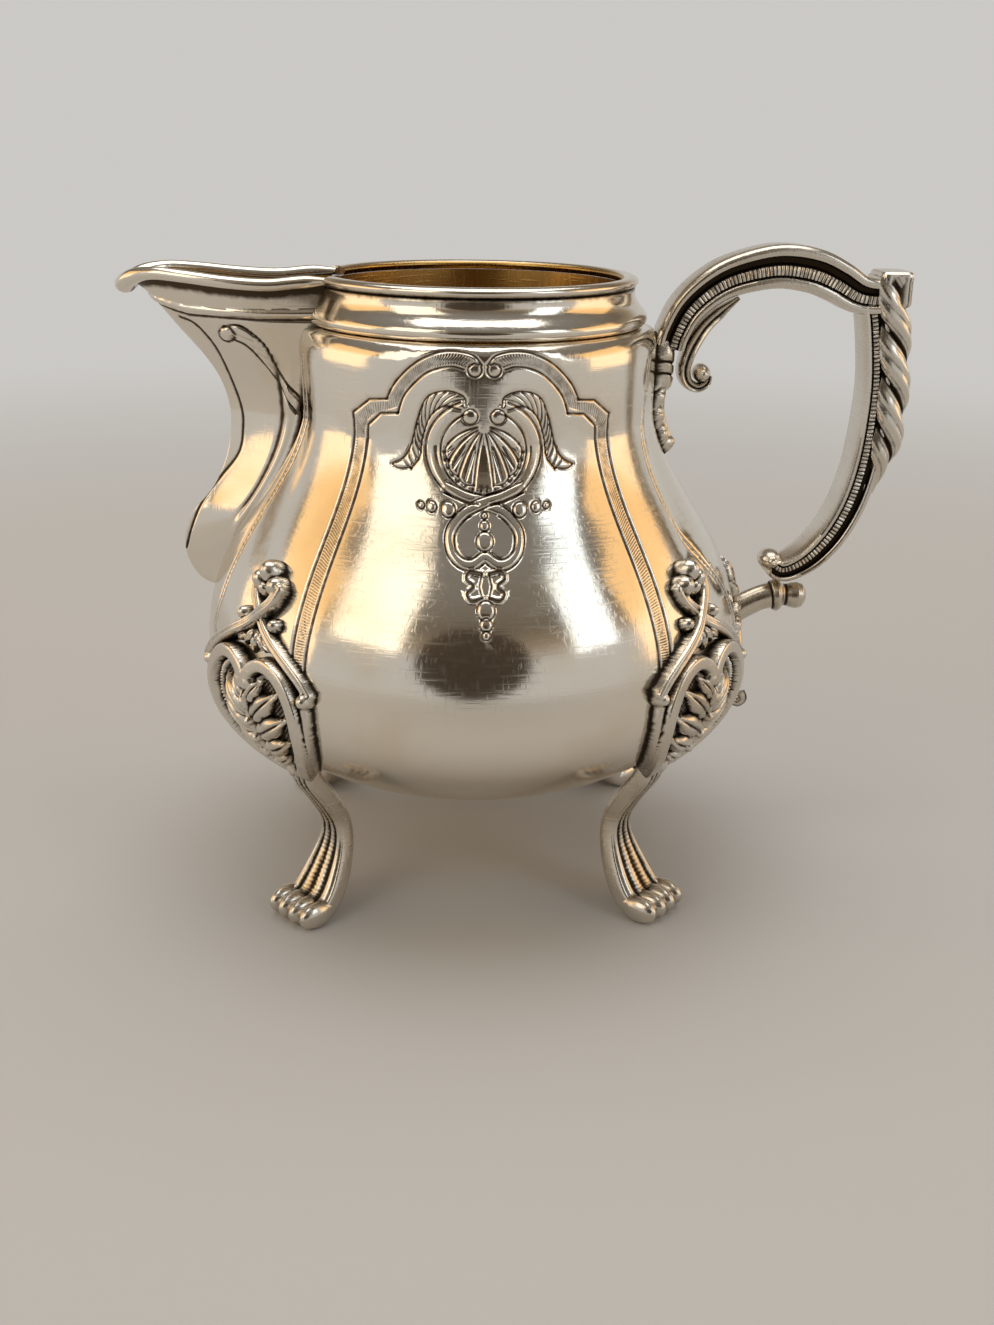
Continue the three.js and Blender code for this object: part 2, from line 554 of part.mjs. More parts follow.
/** The small inner scroll that curls from the upper scroll's root to a ball. */
function innerScroll() {
  const curl = new THREE.Vector2(neckFace + CURL_STAND, PLATE_TOP_Z - CURL_DROP);
  const fromArc = (k, right, down) => [
    upperArc[k][0] + right * UPPER_BAND, upperArc[k][1] - down * UPPER_BAND,
  ];
  const fromCurl = (right, up) => [curl.x + right * CURL_BAND, curl.y + up * CURL_BAND];
  const line = [
    fromArc(3, -0.57, 0.62), fromArc(2, 0.27, 0.66), fromArc(1, 0.53, 0.53), fromArc(0, 0.53, 0.1),
    fromCurl(-1.15, 0.46), fromCurl(-1, -0.38), fromCurl(-0.23, -0.73), fromCurl(0.46, -0.15),
  ];
  const depths = [0.38, 0.7, 0.92, 1, 0.92, 0.85, 0.73, 0.58].map((share) => share * CURL_BAND);
  const edge = CURL_BAND * 0.15;
  const swept = band(bandStations(line, depths, 16), [[0.5, edge], [-0.5, edge]], HANDLE_THICKNESS * 0.9);
  const [ballX, ballZ] = fromCurl(0.15, 0.19);
  const ballEnd = ball([VOLUTE_BALL_RADIUS, HANDLE_THICKNESS * 0.42, VOLUTE_BALL_RADIUS], [ballX, 0, ballZ]);
  const around = band(upperStations, plainSide, HANDLE_THICKNESS, SOLDER_GAP);
  return swept.add(ballEnd).subtract(around).subtract(aroundPlate);
}

/** The acanthus leaf lying along the back of the handle, with its lobes as swellings of its edge. */
function backLeaf() {
  const section = [
    [0, -0.75], [0.35, -1], [0.75, -0.75], [1, -0.2], [0.94, 0], [1, 0.2], [0.75, 0.75], [0.35, 1], [0, 0.75],
  ];
  const stations = lowerStations.slice(0, 12);
  return loft(stations.map(({ at, out, depth }, i) => {
    const share = i / (stations.length - 1);
    const lobe = Math.abs(Math.sin(Math.PI * 4 * share));
    const taper = 1 - 0.75 * smooth(share, 0.7, 1);
    const wide = HANDLE_THICKNESS * (0.53 + 0.07 * lobe) * (1 - 0.55 * smooth(share, 0.55, 1));
    const thick = LEAF_THICKNESS * taper * lerp(0.86, 1, lobe);
    return section.map(([up, across]) => {
      const n = depth / 2 + SOLDER_GAP + up * thick;
      return new THREE.Vector3(at.x + out.x * n, across * wide, at.y + out.y * n);
    });
  }));
}

// Legs

const legTopZ = SHANK_TOP_Z + SOLDER_GAP;

/** The heart-shaped outline of the shield, drawn in by an inset. */
function heart(inset) {
  const half = SHIELD_WIDTH / 2 - inset;
  const [low, high] = [legTopZ + inset * 1.6, SHIELD_TOP_Z - inset];
  const notch = SHIELD_TOP_Z - SHIELD_NOTCH - inset * 0.8;
  const side = lerp(low, high, 0.64);
  const outline = (shape, sign) => {
    shape.bezierCurveTo(sign * half * 0.5, low + 3, sign * half, low + 8, sign * half, side);
    shape.bezierCurveTo(sign * half, high - 2, sign * half * 0.8, high, sign * half * 0.52, high);
    shape.bezierCurveTo(sign * half * 0.25, high, sign * half * 0.1, notch + 1.2, 0, notch);
  };
  const right = new THREE.Shape();
  right.moveTo(0, low);
  outline(right, 1);
  const left = new THREE.Shape();
  left.moveTo(0, low);
  outline(left, -1);
  const points = [...right.getPoints(4), ...left.getPoints(4).reverse().slice(1, -1)];
  return new THREE.Shape(points);
}

/** A curved strap of even width along a line in the (Y, Z) plane. */
function strap(points, width) {
  const steps = 4;
  const line = new THREE.SplineCurve(points.map(([y, z]) => new THREE.Vector2(y, z)));
  const edge = (sign) => Array.from({ length: steps + 1 }, (_, i) => {
    const tangent = line.getTangent(i / steps);
    const aside = new THREE.Vector2(-tangent.y, tangent.x);
    return line.getPoint(i / steps).addScaledVector(aside, (sign * width) / 2);
  });
  return new THREE.Shape([...edge(1), ...edge(-1).reverse()]);
}

/** The cast shield at a leg's top, in the leg's own frame with +X pointing outwards. */
function cartouche(turn) {
  const relief = (height) => bodySolid(SOLDER_GAP + height, { coarse: true, turn });
  const [near, far] = [NECK_RADIUS * 0.6, BELLY_RADIUS * 1.3];
  const face = (y, z, out) => Math.sqrt((bodyRadius(z) + SOLDER_GAP + out) ** 2 - y ** 2);
  const half = SHIELD_WIDTH / 2;
  const frame = heart(0);
  frame.holes.push(heart(SHIELD_BAND));
  const strapFrom = (sign) => {
    const at = (across, rise) => [sign * half * across, lerp(SHIELD_TOP_Z, KNOT_Z, rise)];
    const lower = [[sign * half, SIDE_BEAD_Z], at(0.71, 0.02), at(0.16, 0.37)];
    const upper = [at(-0.25, 0.72), at(-0.31, 0.9)];
    return radialPrism(strap([...lower, ...upper], STRAP_WIDTH), near, far);
  };
  const straps = strapFrom(1).add(strapFrom(-1));
  const middleZ = lerp(legTopZ, SHIELD_TOP_Z, 0.5);
  const leaf = (tilt, y, z) => solid(new THREE.SphereGeometry(1, 6, 4).scale(1.2, 1.5, 5).rotateX(tilt)
    .translate(face(y, z, SHIELD_FIELD_RELIEF), y, z));
  const petal = (across, up) => {
    const [y, z] = [across * KNOT_RADIUS, KNOT_Z + up * KNOT_RADIUS];
    const size = KNOT_RADIUS * 0.66;
    return ball([size, size, size], [face(y, z, size * 0.5), y, z], 6);
  };
  let made = radialPrism(heart(0.4), near, far).intersect(relief(SHIELD_FIELD_RELIEF))
    .add(radialPrism(frame, near, far).intersect(relief(SHIELD_FRAME_RELIEF)))
    .add(straps.intersect(relief(SHIELD_FRAME_RELIEF * 0.75)))
    .add(petal(0, 0.2)).add(petal(0.83, -0.34)).add(petal(-0.83, -0.34))
    .add(leaf(0, 0, middleZ - 1)).add(leaf(-0.6, 3, middleZ + 3.4)).add(leaf(0.6, -3, middleZ + 3.4))
    .add(ball([2.2, 3, 1.7], [face(0, legTopZ + 1.6, 1), 0, legTopZ + 1.6]));
  for (const sign of [-1, 1]) {
    const y = sign * (half + SIDE_BEAD_RADIUS * 0.7);
    const place = [face(y, SIDE_BEAD_Z, SIDE_BEAD_RADIUS * 0.26), y, SIDE_BEAD_Z];
    made = made.add(ball([SIDE_BEAD_RADIUS, SIDE_BEAD_RADIUS, SIDE_BEAD_RADIUS], place, 6));
  }
  return made.subtract(bodySolid(SOLDER_GAP, { turn })).subtract(slab(0, legTopZ));
}

/** The S-shaped shank with its paw, in the leg's own frame, standing flat on the table. */
function shank(turn) {
  const topRadius = bodyRadius(SHANK_TOP_Z) + SHANK_THICKNESS * 0.35;
  const toWaist = (across, down) => new THREE.Vector2(
    lerp(topRadius, SHANK_WAIST_RADIUS, across), lerp(SHANK_TOP_Z, SHANK_WAIST_Z, down),
  );
  const toFoot = (across, height) => new THREE.Vector2(lerp(SHANK_WAIST_RADIUS, FOOT_RADIUS, across), height);
  const line = new THREE.SplineCurve([
    toWaist(-0.05, -0.21), toWaist(0, 0.15), toWaist(0.62, 0.6), toWaist(1, 1),
    toFoot(0.25, PAW_HEIGHT * 1.3), toFoot(0.62, PAW_HEIGHT * 0.48), toFoot(1, PAW_HEIGHT * 0.36),
  ]);
  const count = 9;
  const section = [
    [-0.5, -0.3], [-0.3, -0.5], [0.3, -0.5], [0.5, -0.34], [0.44, -0.12], [0.5, 0],
    [0.44, 0.12], [0.5, 0.34], [0.3, 0.5], [-0.3, 0.5], [-0.5, 0.3],
  ];
  const limb = loft(Array.from({ length: count + 1 }, (_, i) => {
    const t = i / count;
    const middle = line.getPoint(t);
    const tangent = line.getTangent(t);
    const wide = lerp(SHANK_WIDTH, PAW_WIDTH * 0.92, smooth(t, 0.42, 0.92));
    const thick = lerp(SHANK_THICKNESS, PAW_HEIGHT, smooth(t, 0.5, 0.84));
    return section.map(([out, across]) => new THREE.Vector3(
      middle.x - tangent.y * out * thick, across * wide, middle.y + tangent.x * out * thick,
    ));
  }));
  const toePitch = PAW_WIDTH / (TOE_COUNT + 0.3);
  let made = limb;
  for (let i = 0; i < TOE_COUNT; i++) {
    const y = (i - (TOE_COUNT - 1) / 2) * toePitch;
    const reach = toePitch * 0.4 - 0.12 * Math.abs(y);
    const radii = [toePitch * 1.13, toePitch * 0.62, PAW_HEIGHT * 0.52];
    made = made.add(ball(radii, [FOOT_RADIUS + reach, y, PAW_HEIGHT * 0.4], 7));
  }
  const underTable = slab(-PAST, 0);
  const aboveTop = slab(SHANK_TOP_Z, PAST);
  return made.subtract(underTable).subtract(aboveTop).subtract(bodySolid(SOLDER_GAP, { turn }));
}

// The jug

const jug = new THREE.Group();
jug.name = 'milk_jug';

const pot = new THREE.Group();
pot.name = 'pot';
pot.add(
  piece('body_shell', bodyShell, polished.clone()),
  piece('neck_collar', neckCollar, polished.clone()),
  piece('rim_wire', rimWire, polished.clone()),
  piece('spout_wall', spoutWall, polished.clone()),
  piece('spout_lip', spoutLip(), polished.clone()),
);

const handle = new THREE.Group();
handle.name = 'handle';
handle.add(
  piece('handle_drop_plate', dropPlate, cast.clone()),
  piece('handle_upper_scroll', upperScroll, cast.clone()),
  piece('handle_inner_scroll', innerScroll(), cast.clone()),
  piece('handle_lower_scroll', lowerScroll, cast.clone()),
  piece('handle_back_leaf', backLeaf(), cast.clone()),
  piece('handle_branch', branch(0).subtract(aroundBody), cast.clone()),
  piece('handle_escutcheon', escutcheon, cast.clone()),
);

const cornerTurns = {
  front_handle: (fromAxis) => -fromAxis,
  back_handle: (fromAxis) => fromAxis,
  back_spout: (fromAxis) => 180 - fromAxis,
  front_spout: (fromAxis) => 180 + fromAxis,
};
const legs = Object.entries(cornerTurns).map(([corner, turnOf]) => {
  const [shieldTurn, shankTurn] = [rad(turnOf(SHIELD_ANGLE)), rad(turnOf(LEG_ANGLE))];
  const shieldMesh = piece(`shield_${corner}`, cartouche(shieldTurn), cast.clone());
  shieldMesh.rotation.z = shieldTurn;
  const shankMesh = piece(`shank_${corner}`, shank(shankTurn), cast.clone());
  shankMesh.rotation.z = shankTurn;
  const leg = new THREE.Group();
  leg.name = `leg_${corner}`;
  leg.add(shieldMesh, shankMesh);
  return leg;
});

jug.add(pot, handle, ...legs);
jug.updateMatrixWorld(true);
const box = new THREE.Box3().setFromObject(jug, true);
const placed = new THREE.Group();
placed.name = 'milk_jug_placed';
jug.position.set(-(box.min.x + box.max.x) / 2, -(box.min.y + box.max.y) / 2, -box.min.z);
placed.add(jug);

export default placed;
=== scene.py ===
"""Looks of a four-footed silver milk jug with a chased body, a cast handle and cast legs.

Points are worked out in millimetres from the jug's upright axis, with the spout towards -X,
the handle towards +X and the front towards -Y, and go to the frame's metres in one place.
"""

import logging
import math
from dataclasses import dataclass, field, replace
from enum import Enum
from functools import cached_property
from typing import Sequence

import bmesh
import bpy
import numpy as np
from mathutils import Matrix, Vector


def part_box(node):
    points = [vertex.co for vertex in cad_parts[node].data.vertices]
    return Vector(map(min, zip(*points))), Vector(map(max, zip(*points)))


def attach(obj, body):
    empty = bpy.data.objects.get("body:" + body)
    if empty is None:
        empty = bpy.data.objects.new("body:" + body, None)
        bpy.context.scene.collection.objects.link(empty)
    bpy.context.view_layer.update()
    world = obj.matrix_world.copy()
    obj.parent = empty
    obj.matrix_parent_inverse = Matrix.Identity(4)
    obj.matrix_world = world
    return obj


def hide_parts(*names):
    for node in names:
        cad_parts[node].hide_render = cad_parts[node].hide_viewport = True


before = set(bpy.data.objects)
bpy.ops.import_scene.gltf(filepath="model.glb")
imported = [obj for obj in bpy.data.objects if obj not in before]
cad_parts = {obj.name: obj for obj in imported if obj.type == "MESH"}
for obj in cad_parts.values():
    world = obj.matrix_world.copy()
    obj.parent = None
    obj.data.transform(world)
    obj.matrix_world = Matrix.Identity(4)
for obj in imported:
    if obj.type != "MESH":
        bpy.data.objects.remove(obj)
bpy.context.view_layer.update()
LOG = logging.getLogger("milk_jug")
MM = 0.001
TINY = 1e-9
SMALL = 1e-6
Array = np.ndarray
Line = Sequence[Sequence[float]]
Pair = tuple[float, float]
Triple = tuple[float, float, float]
Tree = bpy.types.NodeTree
Socket = bpy.types.NodeSocket
BODY_LOW, BODY_HIGH = (np.array(corner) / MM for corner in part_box("body_shell"))
AXIS_X = float(BODY_LOW[0] + BODY_HIGH[0]) / 2


# Curves and measures


def smooth(value: Array | float, low: float, high: float) -> Array:
    """A soft step from 0 at the low value to 1 at the high one."""
    share = np.clip((np.asarray(value, float) - low) / (high - low), 0.0, 1.0)
    return share * share * (3.0 - 2.0 * share)


def lerp(start: Array | float, end: Array | float, share: Array | float) -> Array:
    """The value that lies a share of the way from start to end."""
    return start + (end - start) * share


def resample(line: Array, count: int) -> Array:
    """Evenly spaced points along a line.

    Args:
        line: points of the line, one to a row.
        count: how many points to give back.

    Returns:
        The spaced points, with the line's two ends among them.
    """
    steps = np.linalg.norm(np.diff(line, axis=0), axis=1)
    along = np.concatenate([[0.0], np.cumsum(steps)])
    wanted = np.linspace(0.0, along[-1], count)
    return np.column_stack([np.interp(wanted, along, line[:, k]) for k in range(line.shape[1])])


def bernstein(degree: int, share: Array) -> list[Array]:
    """The weight of each control point of a Bezier curve at shares along it."""
    return [math.comb(degree, k) * (1 - share) ** (degree - k) * share ** k for k in range(degree + 1)]


def bezier(points: Line, count: int) -> Array:
    """Points along a Bezier curve of any degree.

    Args:
        points: the curve's control points.
        count: how many points to give back.

    Returns:
        The points, one to a row.
    """
    held = np.asarray(points, float)
    weights = bernstein(len(held) - 1, np.linspace(0.0, 1.0, count)[:, None])
    return sum(weight * point for weight, point in zip(weights, held))


def spline(points: Line, count: int) -> Array:
    """Evenly spaced points along a smooth line through the given ones.

    Args:
        points: the points that the line passes through.
        count: how many points to give back.

    Returns:
        The points, one to a row.
    """
    held = np.asarray(points, float)
    held = np.vstack([2 * held[0] - held[1], held, 2 * held[-1] - held[-2]])
    share = np.linspace(0.0, 1.0, 17)[:-1, None]
    spans = []
    for before, start, end, after in zip(held, held[1:], held[2:], held[3:]):
        bend = 2 * before - 5 * start + 4 * end - after
        twist = 3 * (start - end) + after - before
        spans.append(start + 0.5 * share * ((end - before) + share * (bend + share * twist)))
    return resample(np.vstack([*spans, held[-2:-1]]), count)


def arc(centre: Sequence[float], radii: Sequence[float], start: float, end: float, count: int) -> Array:
    """Points along an ellipse from one angle to another, in degrees."""
    turn = np.radians(np.linspace(start, end, count))
    return np.column_stack([centre[0] + radii[0] * np.cos(turn), centre[1] + radii[1] * np.sin(turn)])


def around(count: int) -> Array:
    """Evenly spaced angles once round, in radians."""
    return np.radians(np.linspace(0, 360, count, endpoint=False))


def bell(value: Array, width: float) -> Array:
    """A bump that is 1 at zero and fades to either side."""
    return np.exp(-(value / width) ** 2)


def ripple(value: Array, pitch: float) -> Array:
    """A wave that is 1 at every whole pitch and 0 halfway between."""
    return 0.5 + 0.5 * np.cos(2 * np.pi * value / pitch)


def squared(value: Array, power: float) -> Array:
    """A sine or cosine drawn towards its ends, which squares off a round section."""
    return np.sign(value) * np.abs(value) ** power


def length_of(line: Array) -> float:
    """The length of a line."""
    return float(np.linalg.norm(np.diff(line, axis=0), axis=1).sum())


def tangents(line: Array) -> Array:
    """The unit direction of a line at each of its points."""
    run = np.gradient(line, axis=0)
    return run / np.maximum(np.linalg.norm(run, axis=1, keepdims=True), TINY)


def left_of(line: Array) -> Array:
    """The unit direction to the left of a flat line at each of its points."""
    run = tangents(line)
    return np.column_stack([-run[:, 1], run[:, 0]])


def beside(line: Array, distance: float) -> Array:
    """A flat line that keeps a distance to the left of another."""
    return line + distance * left_of(line)


def swept(line: Array, away: Array, y: Array) -> Array:
    """Rings of points along a line in an upright plane.

    Args:
        line: the middle line, in (x, z).
        away: how far each ring's points lie to the left of the line.
        y: how far they lie from the plane.

    Returns:
        The points, one ring to a row.
    """
    left = left_of(line)
    x = line[:, :1] + left[:, :1] * away
    z = line[:, 1:] + left[:, 1:] * away
    return np.stack([x, np.broadcast_to(y, x.shape), z], axis=-1)


def turned(points: Array, angle: Array | float) -> Array:
    """Points carried round the jug's axis by an angle in radians.

    Args:
        points: the points, with x, y and z last.
        angle: one angle, or one to a ring.

    Returns:
        The carried points.
    """
    x, y, z = np.moveaxis(points, -1, 0)
    sine, cosine = np.sin(angle), np.cos(angle)
    return np.stack([x * cosine - y * sine, x * sine + y * cosine, z], axis=-1)


def near_line(u: Array, v: Array, line: Array, reach: float) -> tuple[Array, Array]:
    """How far points of a sheet lie from a line, and where along it.

    Args:
        u: the points' first coordinate, flat.
        v: the points' second coordinate, flat.
        line: the line's points.
        reach: the largest distance of interest.

    Returns:
        The distance of each point, no more than the reach, and the share along the line.
    """
    gap = np.full(u.shape, reach)
    share = np.zeros(u.shape)
    low, high = line.min(axis=0) - reach, line.max(axis=0) + reach
    close = np.flatnonzero((u > low[0]) & (u < high[0]) & (v > low[1]) & (v < high[1]))
    best, spot = gap[close], share[close]
    pu, pv = u[close], v[close]
    count = max(1, len(line) - 1)
    for k in range(len(line) - 1):
        start, run = line[k], line[k + 1] - line[k]
        t = ((pu - start[0]) * run[0] + (pv - start[1]) * run[1]) / max(float(run @ run), TINY)
        t = np.clip(t, 0.0, 1.0)
        far = np.hypot(pu - start[0] - t * run[0], pv - start[1] - t * run[1])
        nearer = far < best
        best[nearer] = far[nearer]
        spot[nearer] = (k + t[nearer]) / count
    gap[close] = best
    share[close] = spot
    return gap, share


def inside_line(u: Array, v: Array, line: Array) -> Array:
    """Which points lie inside a closed line.

    Args:
        u: the points' first coordinate.
        v: the points' second coordinate.
        line: the closed line's corners.

    Returns:
        True for each point inside.
    """
    held = np.zeros(u.shape, bool)
    for start, end in zip(line, np.roll(line, -1, axis=0)):
        crosses = (start[1] > v) != (end[1] > v)
        rise = end[1] - start[1]
        at = start[0] + (v - start[1]) * (end[0] - start[0]) / (rise if abs(rise) > TINY else TINY)
        held ^= crosses & (u < at)
    return held


def blurred(grid: Array, radius: int) -> Array:
    """A grid of values averaged twice over a square window.

    Args:
        grid: the values.
        radius: how many neighbours the window takes in each way.

    Returns:
        The averaged values.
    """
    window = 2 * radius + 1
    for axis in (0, 1, 0, 1):
        pad = [(radius + 1, radius) if k == axis else (0, 0) for k in (0, 1)]
        total = np.cumsum(np.pad(grid, pad, mode="edge"), axis=axis)
        ahead = np.take(total, range(window, total.shape[axis]), axis=axis)
        grid = (ahead - np.take(total, range(total.shape[axis] - window), axis=axis)) / window
    return grid


# Finishes


def shade(tree: Tree, kind: str, inputs: dict[str | int, object], output: str, **settings: str) -> Socket:
    """Adds a shader node.

    Args:
        tree: the nodes of a material or of the world.
        kind: the node's type, without its prefix.
        inputs: a socket to link or a plain value, by the input's name or number.
        output: the name of the output to give back.
        settings: the node's own choices.

    Returns:
        The output's socket.
    """
    made = tree.nodes.new(f"ShaderNode{kind}")
    for name, choice in settings.items():
        setattr(made, name, choice)
    for name, value in inputs.items():
        if isinstance(value, Socket):
            tree.links.new(value, made.inputs[name])
        else:
            made.inputs[name].default_value = value
    return made.outputs[output]


def noise(tree: Tree, place: Socket, scale: float, detail: float) -> Socket:
    """A noise value over the given coordinates."""
    return shade(tree, "TexNoise", {"Vector": place, "Scale": scale, "Detail": detail}, "Fac")


def ramp(tree: Tree, value: Socket, low: float, high: float) -> Socket:
    """A value spread from 0 at low to 1 at high, with soft ends."""
    span = {"Value": value, "From Min": low, "From Max": high}
    return shade(tree, "MapRange", span, "Result", interpolation_type="SMOOTHSTEP")


def combined(tree: Tree, operation: str, *values: Socket | float) -> Socket:
    """One sum of sockets and plain numbers."""
    return shade(tree, "Math", dict(enumerate(values)), "Value", operation=operation)


def mixed(tree: Tree, share: Socket, start: object, end: object, kind: str = "RGBA") -> Socket:
    """A colour, or a value of another kind, drawn towards a second one by a share."""
    return shade(tree, "Mix", {"Factor": share, "A": start, "B": end}, "Result", data_type=kind)


def opaque(colour: Triple) -> tuple[float, float, float, float]:
    """A colour with full cover."""
    return (*colour, 1.0)


def new_material(name: str) -> tuple[bpy.types.Material, Tree, bpy.types.Node]:
    """A new material, its nodes and its main shader.

    Args:
        name: the material's name.

    Returns:
        The material, its nodes and its main shader.
    """
    material = bpy.data.materials.new(name)
    material.use_nodes = True
    return material, material.node_tree, material.node_tree.nodes["Principled BSDF"]


@dataclass(frozen=True)
class SilverFinish:
    """A silver surface with hairline scratches, a warm tarnish, dark patina in its recesses, and the same
    dark colour as painted shade under rims, under the lip and where parts meet.
    """

    name: str
    colour: Triple
    tarnish: Triple
    patina: Triple
    roughness: float
    patina_and_shade_roughness: float
    scratch: float
    grain: float
    cloud_scale: float = 55.0
    speckle_scale: float = 900.0
    scratch_depth: float = 0.00004
    pit_depth: float = 0.0001

    def make(self) -> bpy.types.Material:
        """The node material of this finish.

        Returns:
            The new material.
        """
        material, tree, shader = new_material(self.name)
        shader.inputs["Metallic"].default_value = 1.0
        place = shade(tree, "TexCoord", {}, "Object")
        # The point attribute read here holds patina in hollows and painted shade under rims, under the lip
        # and where parts meet.
        patina_and_shade_amount = shade(tree, "Attribute", {}, "Fac", attribute_name="patina")

        tarnish = ramp(tree, noise(tree, place, self.cloud_scale, 4.0), 0.42, 0.78)
        speckle = noise(tree, place, self.speckle_scale, 3.0)
        worn = combined(tree, "MULTIPLY_ADD", speckle, 0.5, -0.25)
        dark = ramp(tree, combined(tree, "ADD", patina_and_shade_amount, worn), 0.12, 0.72)
        warm = mixed(tree, tarnish, opaque(self.colour), opaque(self.tarnish))
        tree.links.new(mixed(tree, dark, warm, opaque(self.patina)), shader.inputs["Base Color"])

        hair = self._hairlines(tree, place, (180.0, 180.0, 2600.0), 0.5)
        cross = self._hairlines(tree, place, (2300.0, 2300.0, 140.0), -0.7)
        fine = ramp(tree, combined(tree, "MAXIMUM", hair, cross), 0.5, 0.75)
        span = {"Value": fine, "To Min": self.roughness, "To Max": self.roughness + 0.09}
        polish = shade(tree, "MapRange", span, "Result")
        cloudy = combined(tree, "MULTIPLY_ADD", tarnish, 0.05, polish)
        rough = mixed(tree, dark, cloudy, self.patina_and_shade_roughness, "FLOAT")
        tree.links.new(rough, shader.inputs["Roughness"])

        lines = {"Strength": self.scratch, "Distance": self.scratch_depth, "Height": fine}
        pits = {"Strength": self.grain, "Distance": self.pit_depth, "Height": speckle}
        pits["Normal"] = shade(tree, "Bump", lines, "Normal")
        tree.links.new(shade(tree, "Bump", pits, "Normal"), shader.inputs["Normal"])
        return material

    @staticmethod
    def _hairlines(tree: Tree, place: Socket, scale: Triple, turn: float) -> Socket:
        """Noise stretched into scratches that run one way."""
        stretch = {"Vector": place, "Scale": scale, "Rotation": (turn, turn * 0.6, 0.0)}
        return noise(tree, shade(tree, "Mapping", stretch, "Vector"), 1.0, 2.0)


POLISHED = SilverFinish(
    "polished_silver", (0.80, 0.745, 0.66), (0.72, 0.62, 0.48), (0.075, 0.052, 0.032),
    roughness=0.12, patina_and_shade_roughness=0.38, scratch=0.1, grain=0.0)
CAST = SilverFinish(
    "cast_silver", (0.70, 0.65, 0.575), (0.55, 0.465, 0.355), (0.030, 0.021, 0.013),
    roughness=0.2, patina_and_shade_roughness=0.5, scratch=0.2, grain=0.06)
GILT = SilverFinish(
    "gilt_lining", (0.50, 0.31, 0.10), (0.34, 0.20, 0.06), (0.10, 0.05, 0.015),
    roughness=0.24, patina_and_shade_roughness=0.45, scratch=0.3, grain=0.05)


class Slot(Enum):
    """Which outer material a piece wears."""

    POLISHED = "polished_silver"
    CAST = "cast_silver"


@dataclass
class Dressing:
    """The materials that the pieces wear, made once."""

    polished: bpy.types.Material = field(default_factory=POLISHED.make)
    cast: bpy.types.Material = field(default_factory=CAST.make)
    gilt: bpy.types.Material = field(default_factory=GILT.make)

    def materials(self, slot: Slot) -> list[bpy.types.Material]:
        """A slot's outer material, and the lining's after it."""
        return [self.polished if slot is Slot.POLISHED else self.cast, self.gilt]


# Meshes


def placed(name: str, data: bpy.types.ID) -> bpy.types.Object:
    """A new object of the scene that holds a mesh, a light or a camera.

    Args:
        name: the object's name.
        data: what it holds.

    Returns:
        The new object.
    """
    made = bpy.data.objects.new(name, data)
    bpy.context.scene.collection.objects.link(made)
    return made


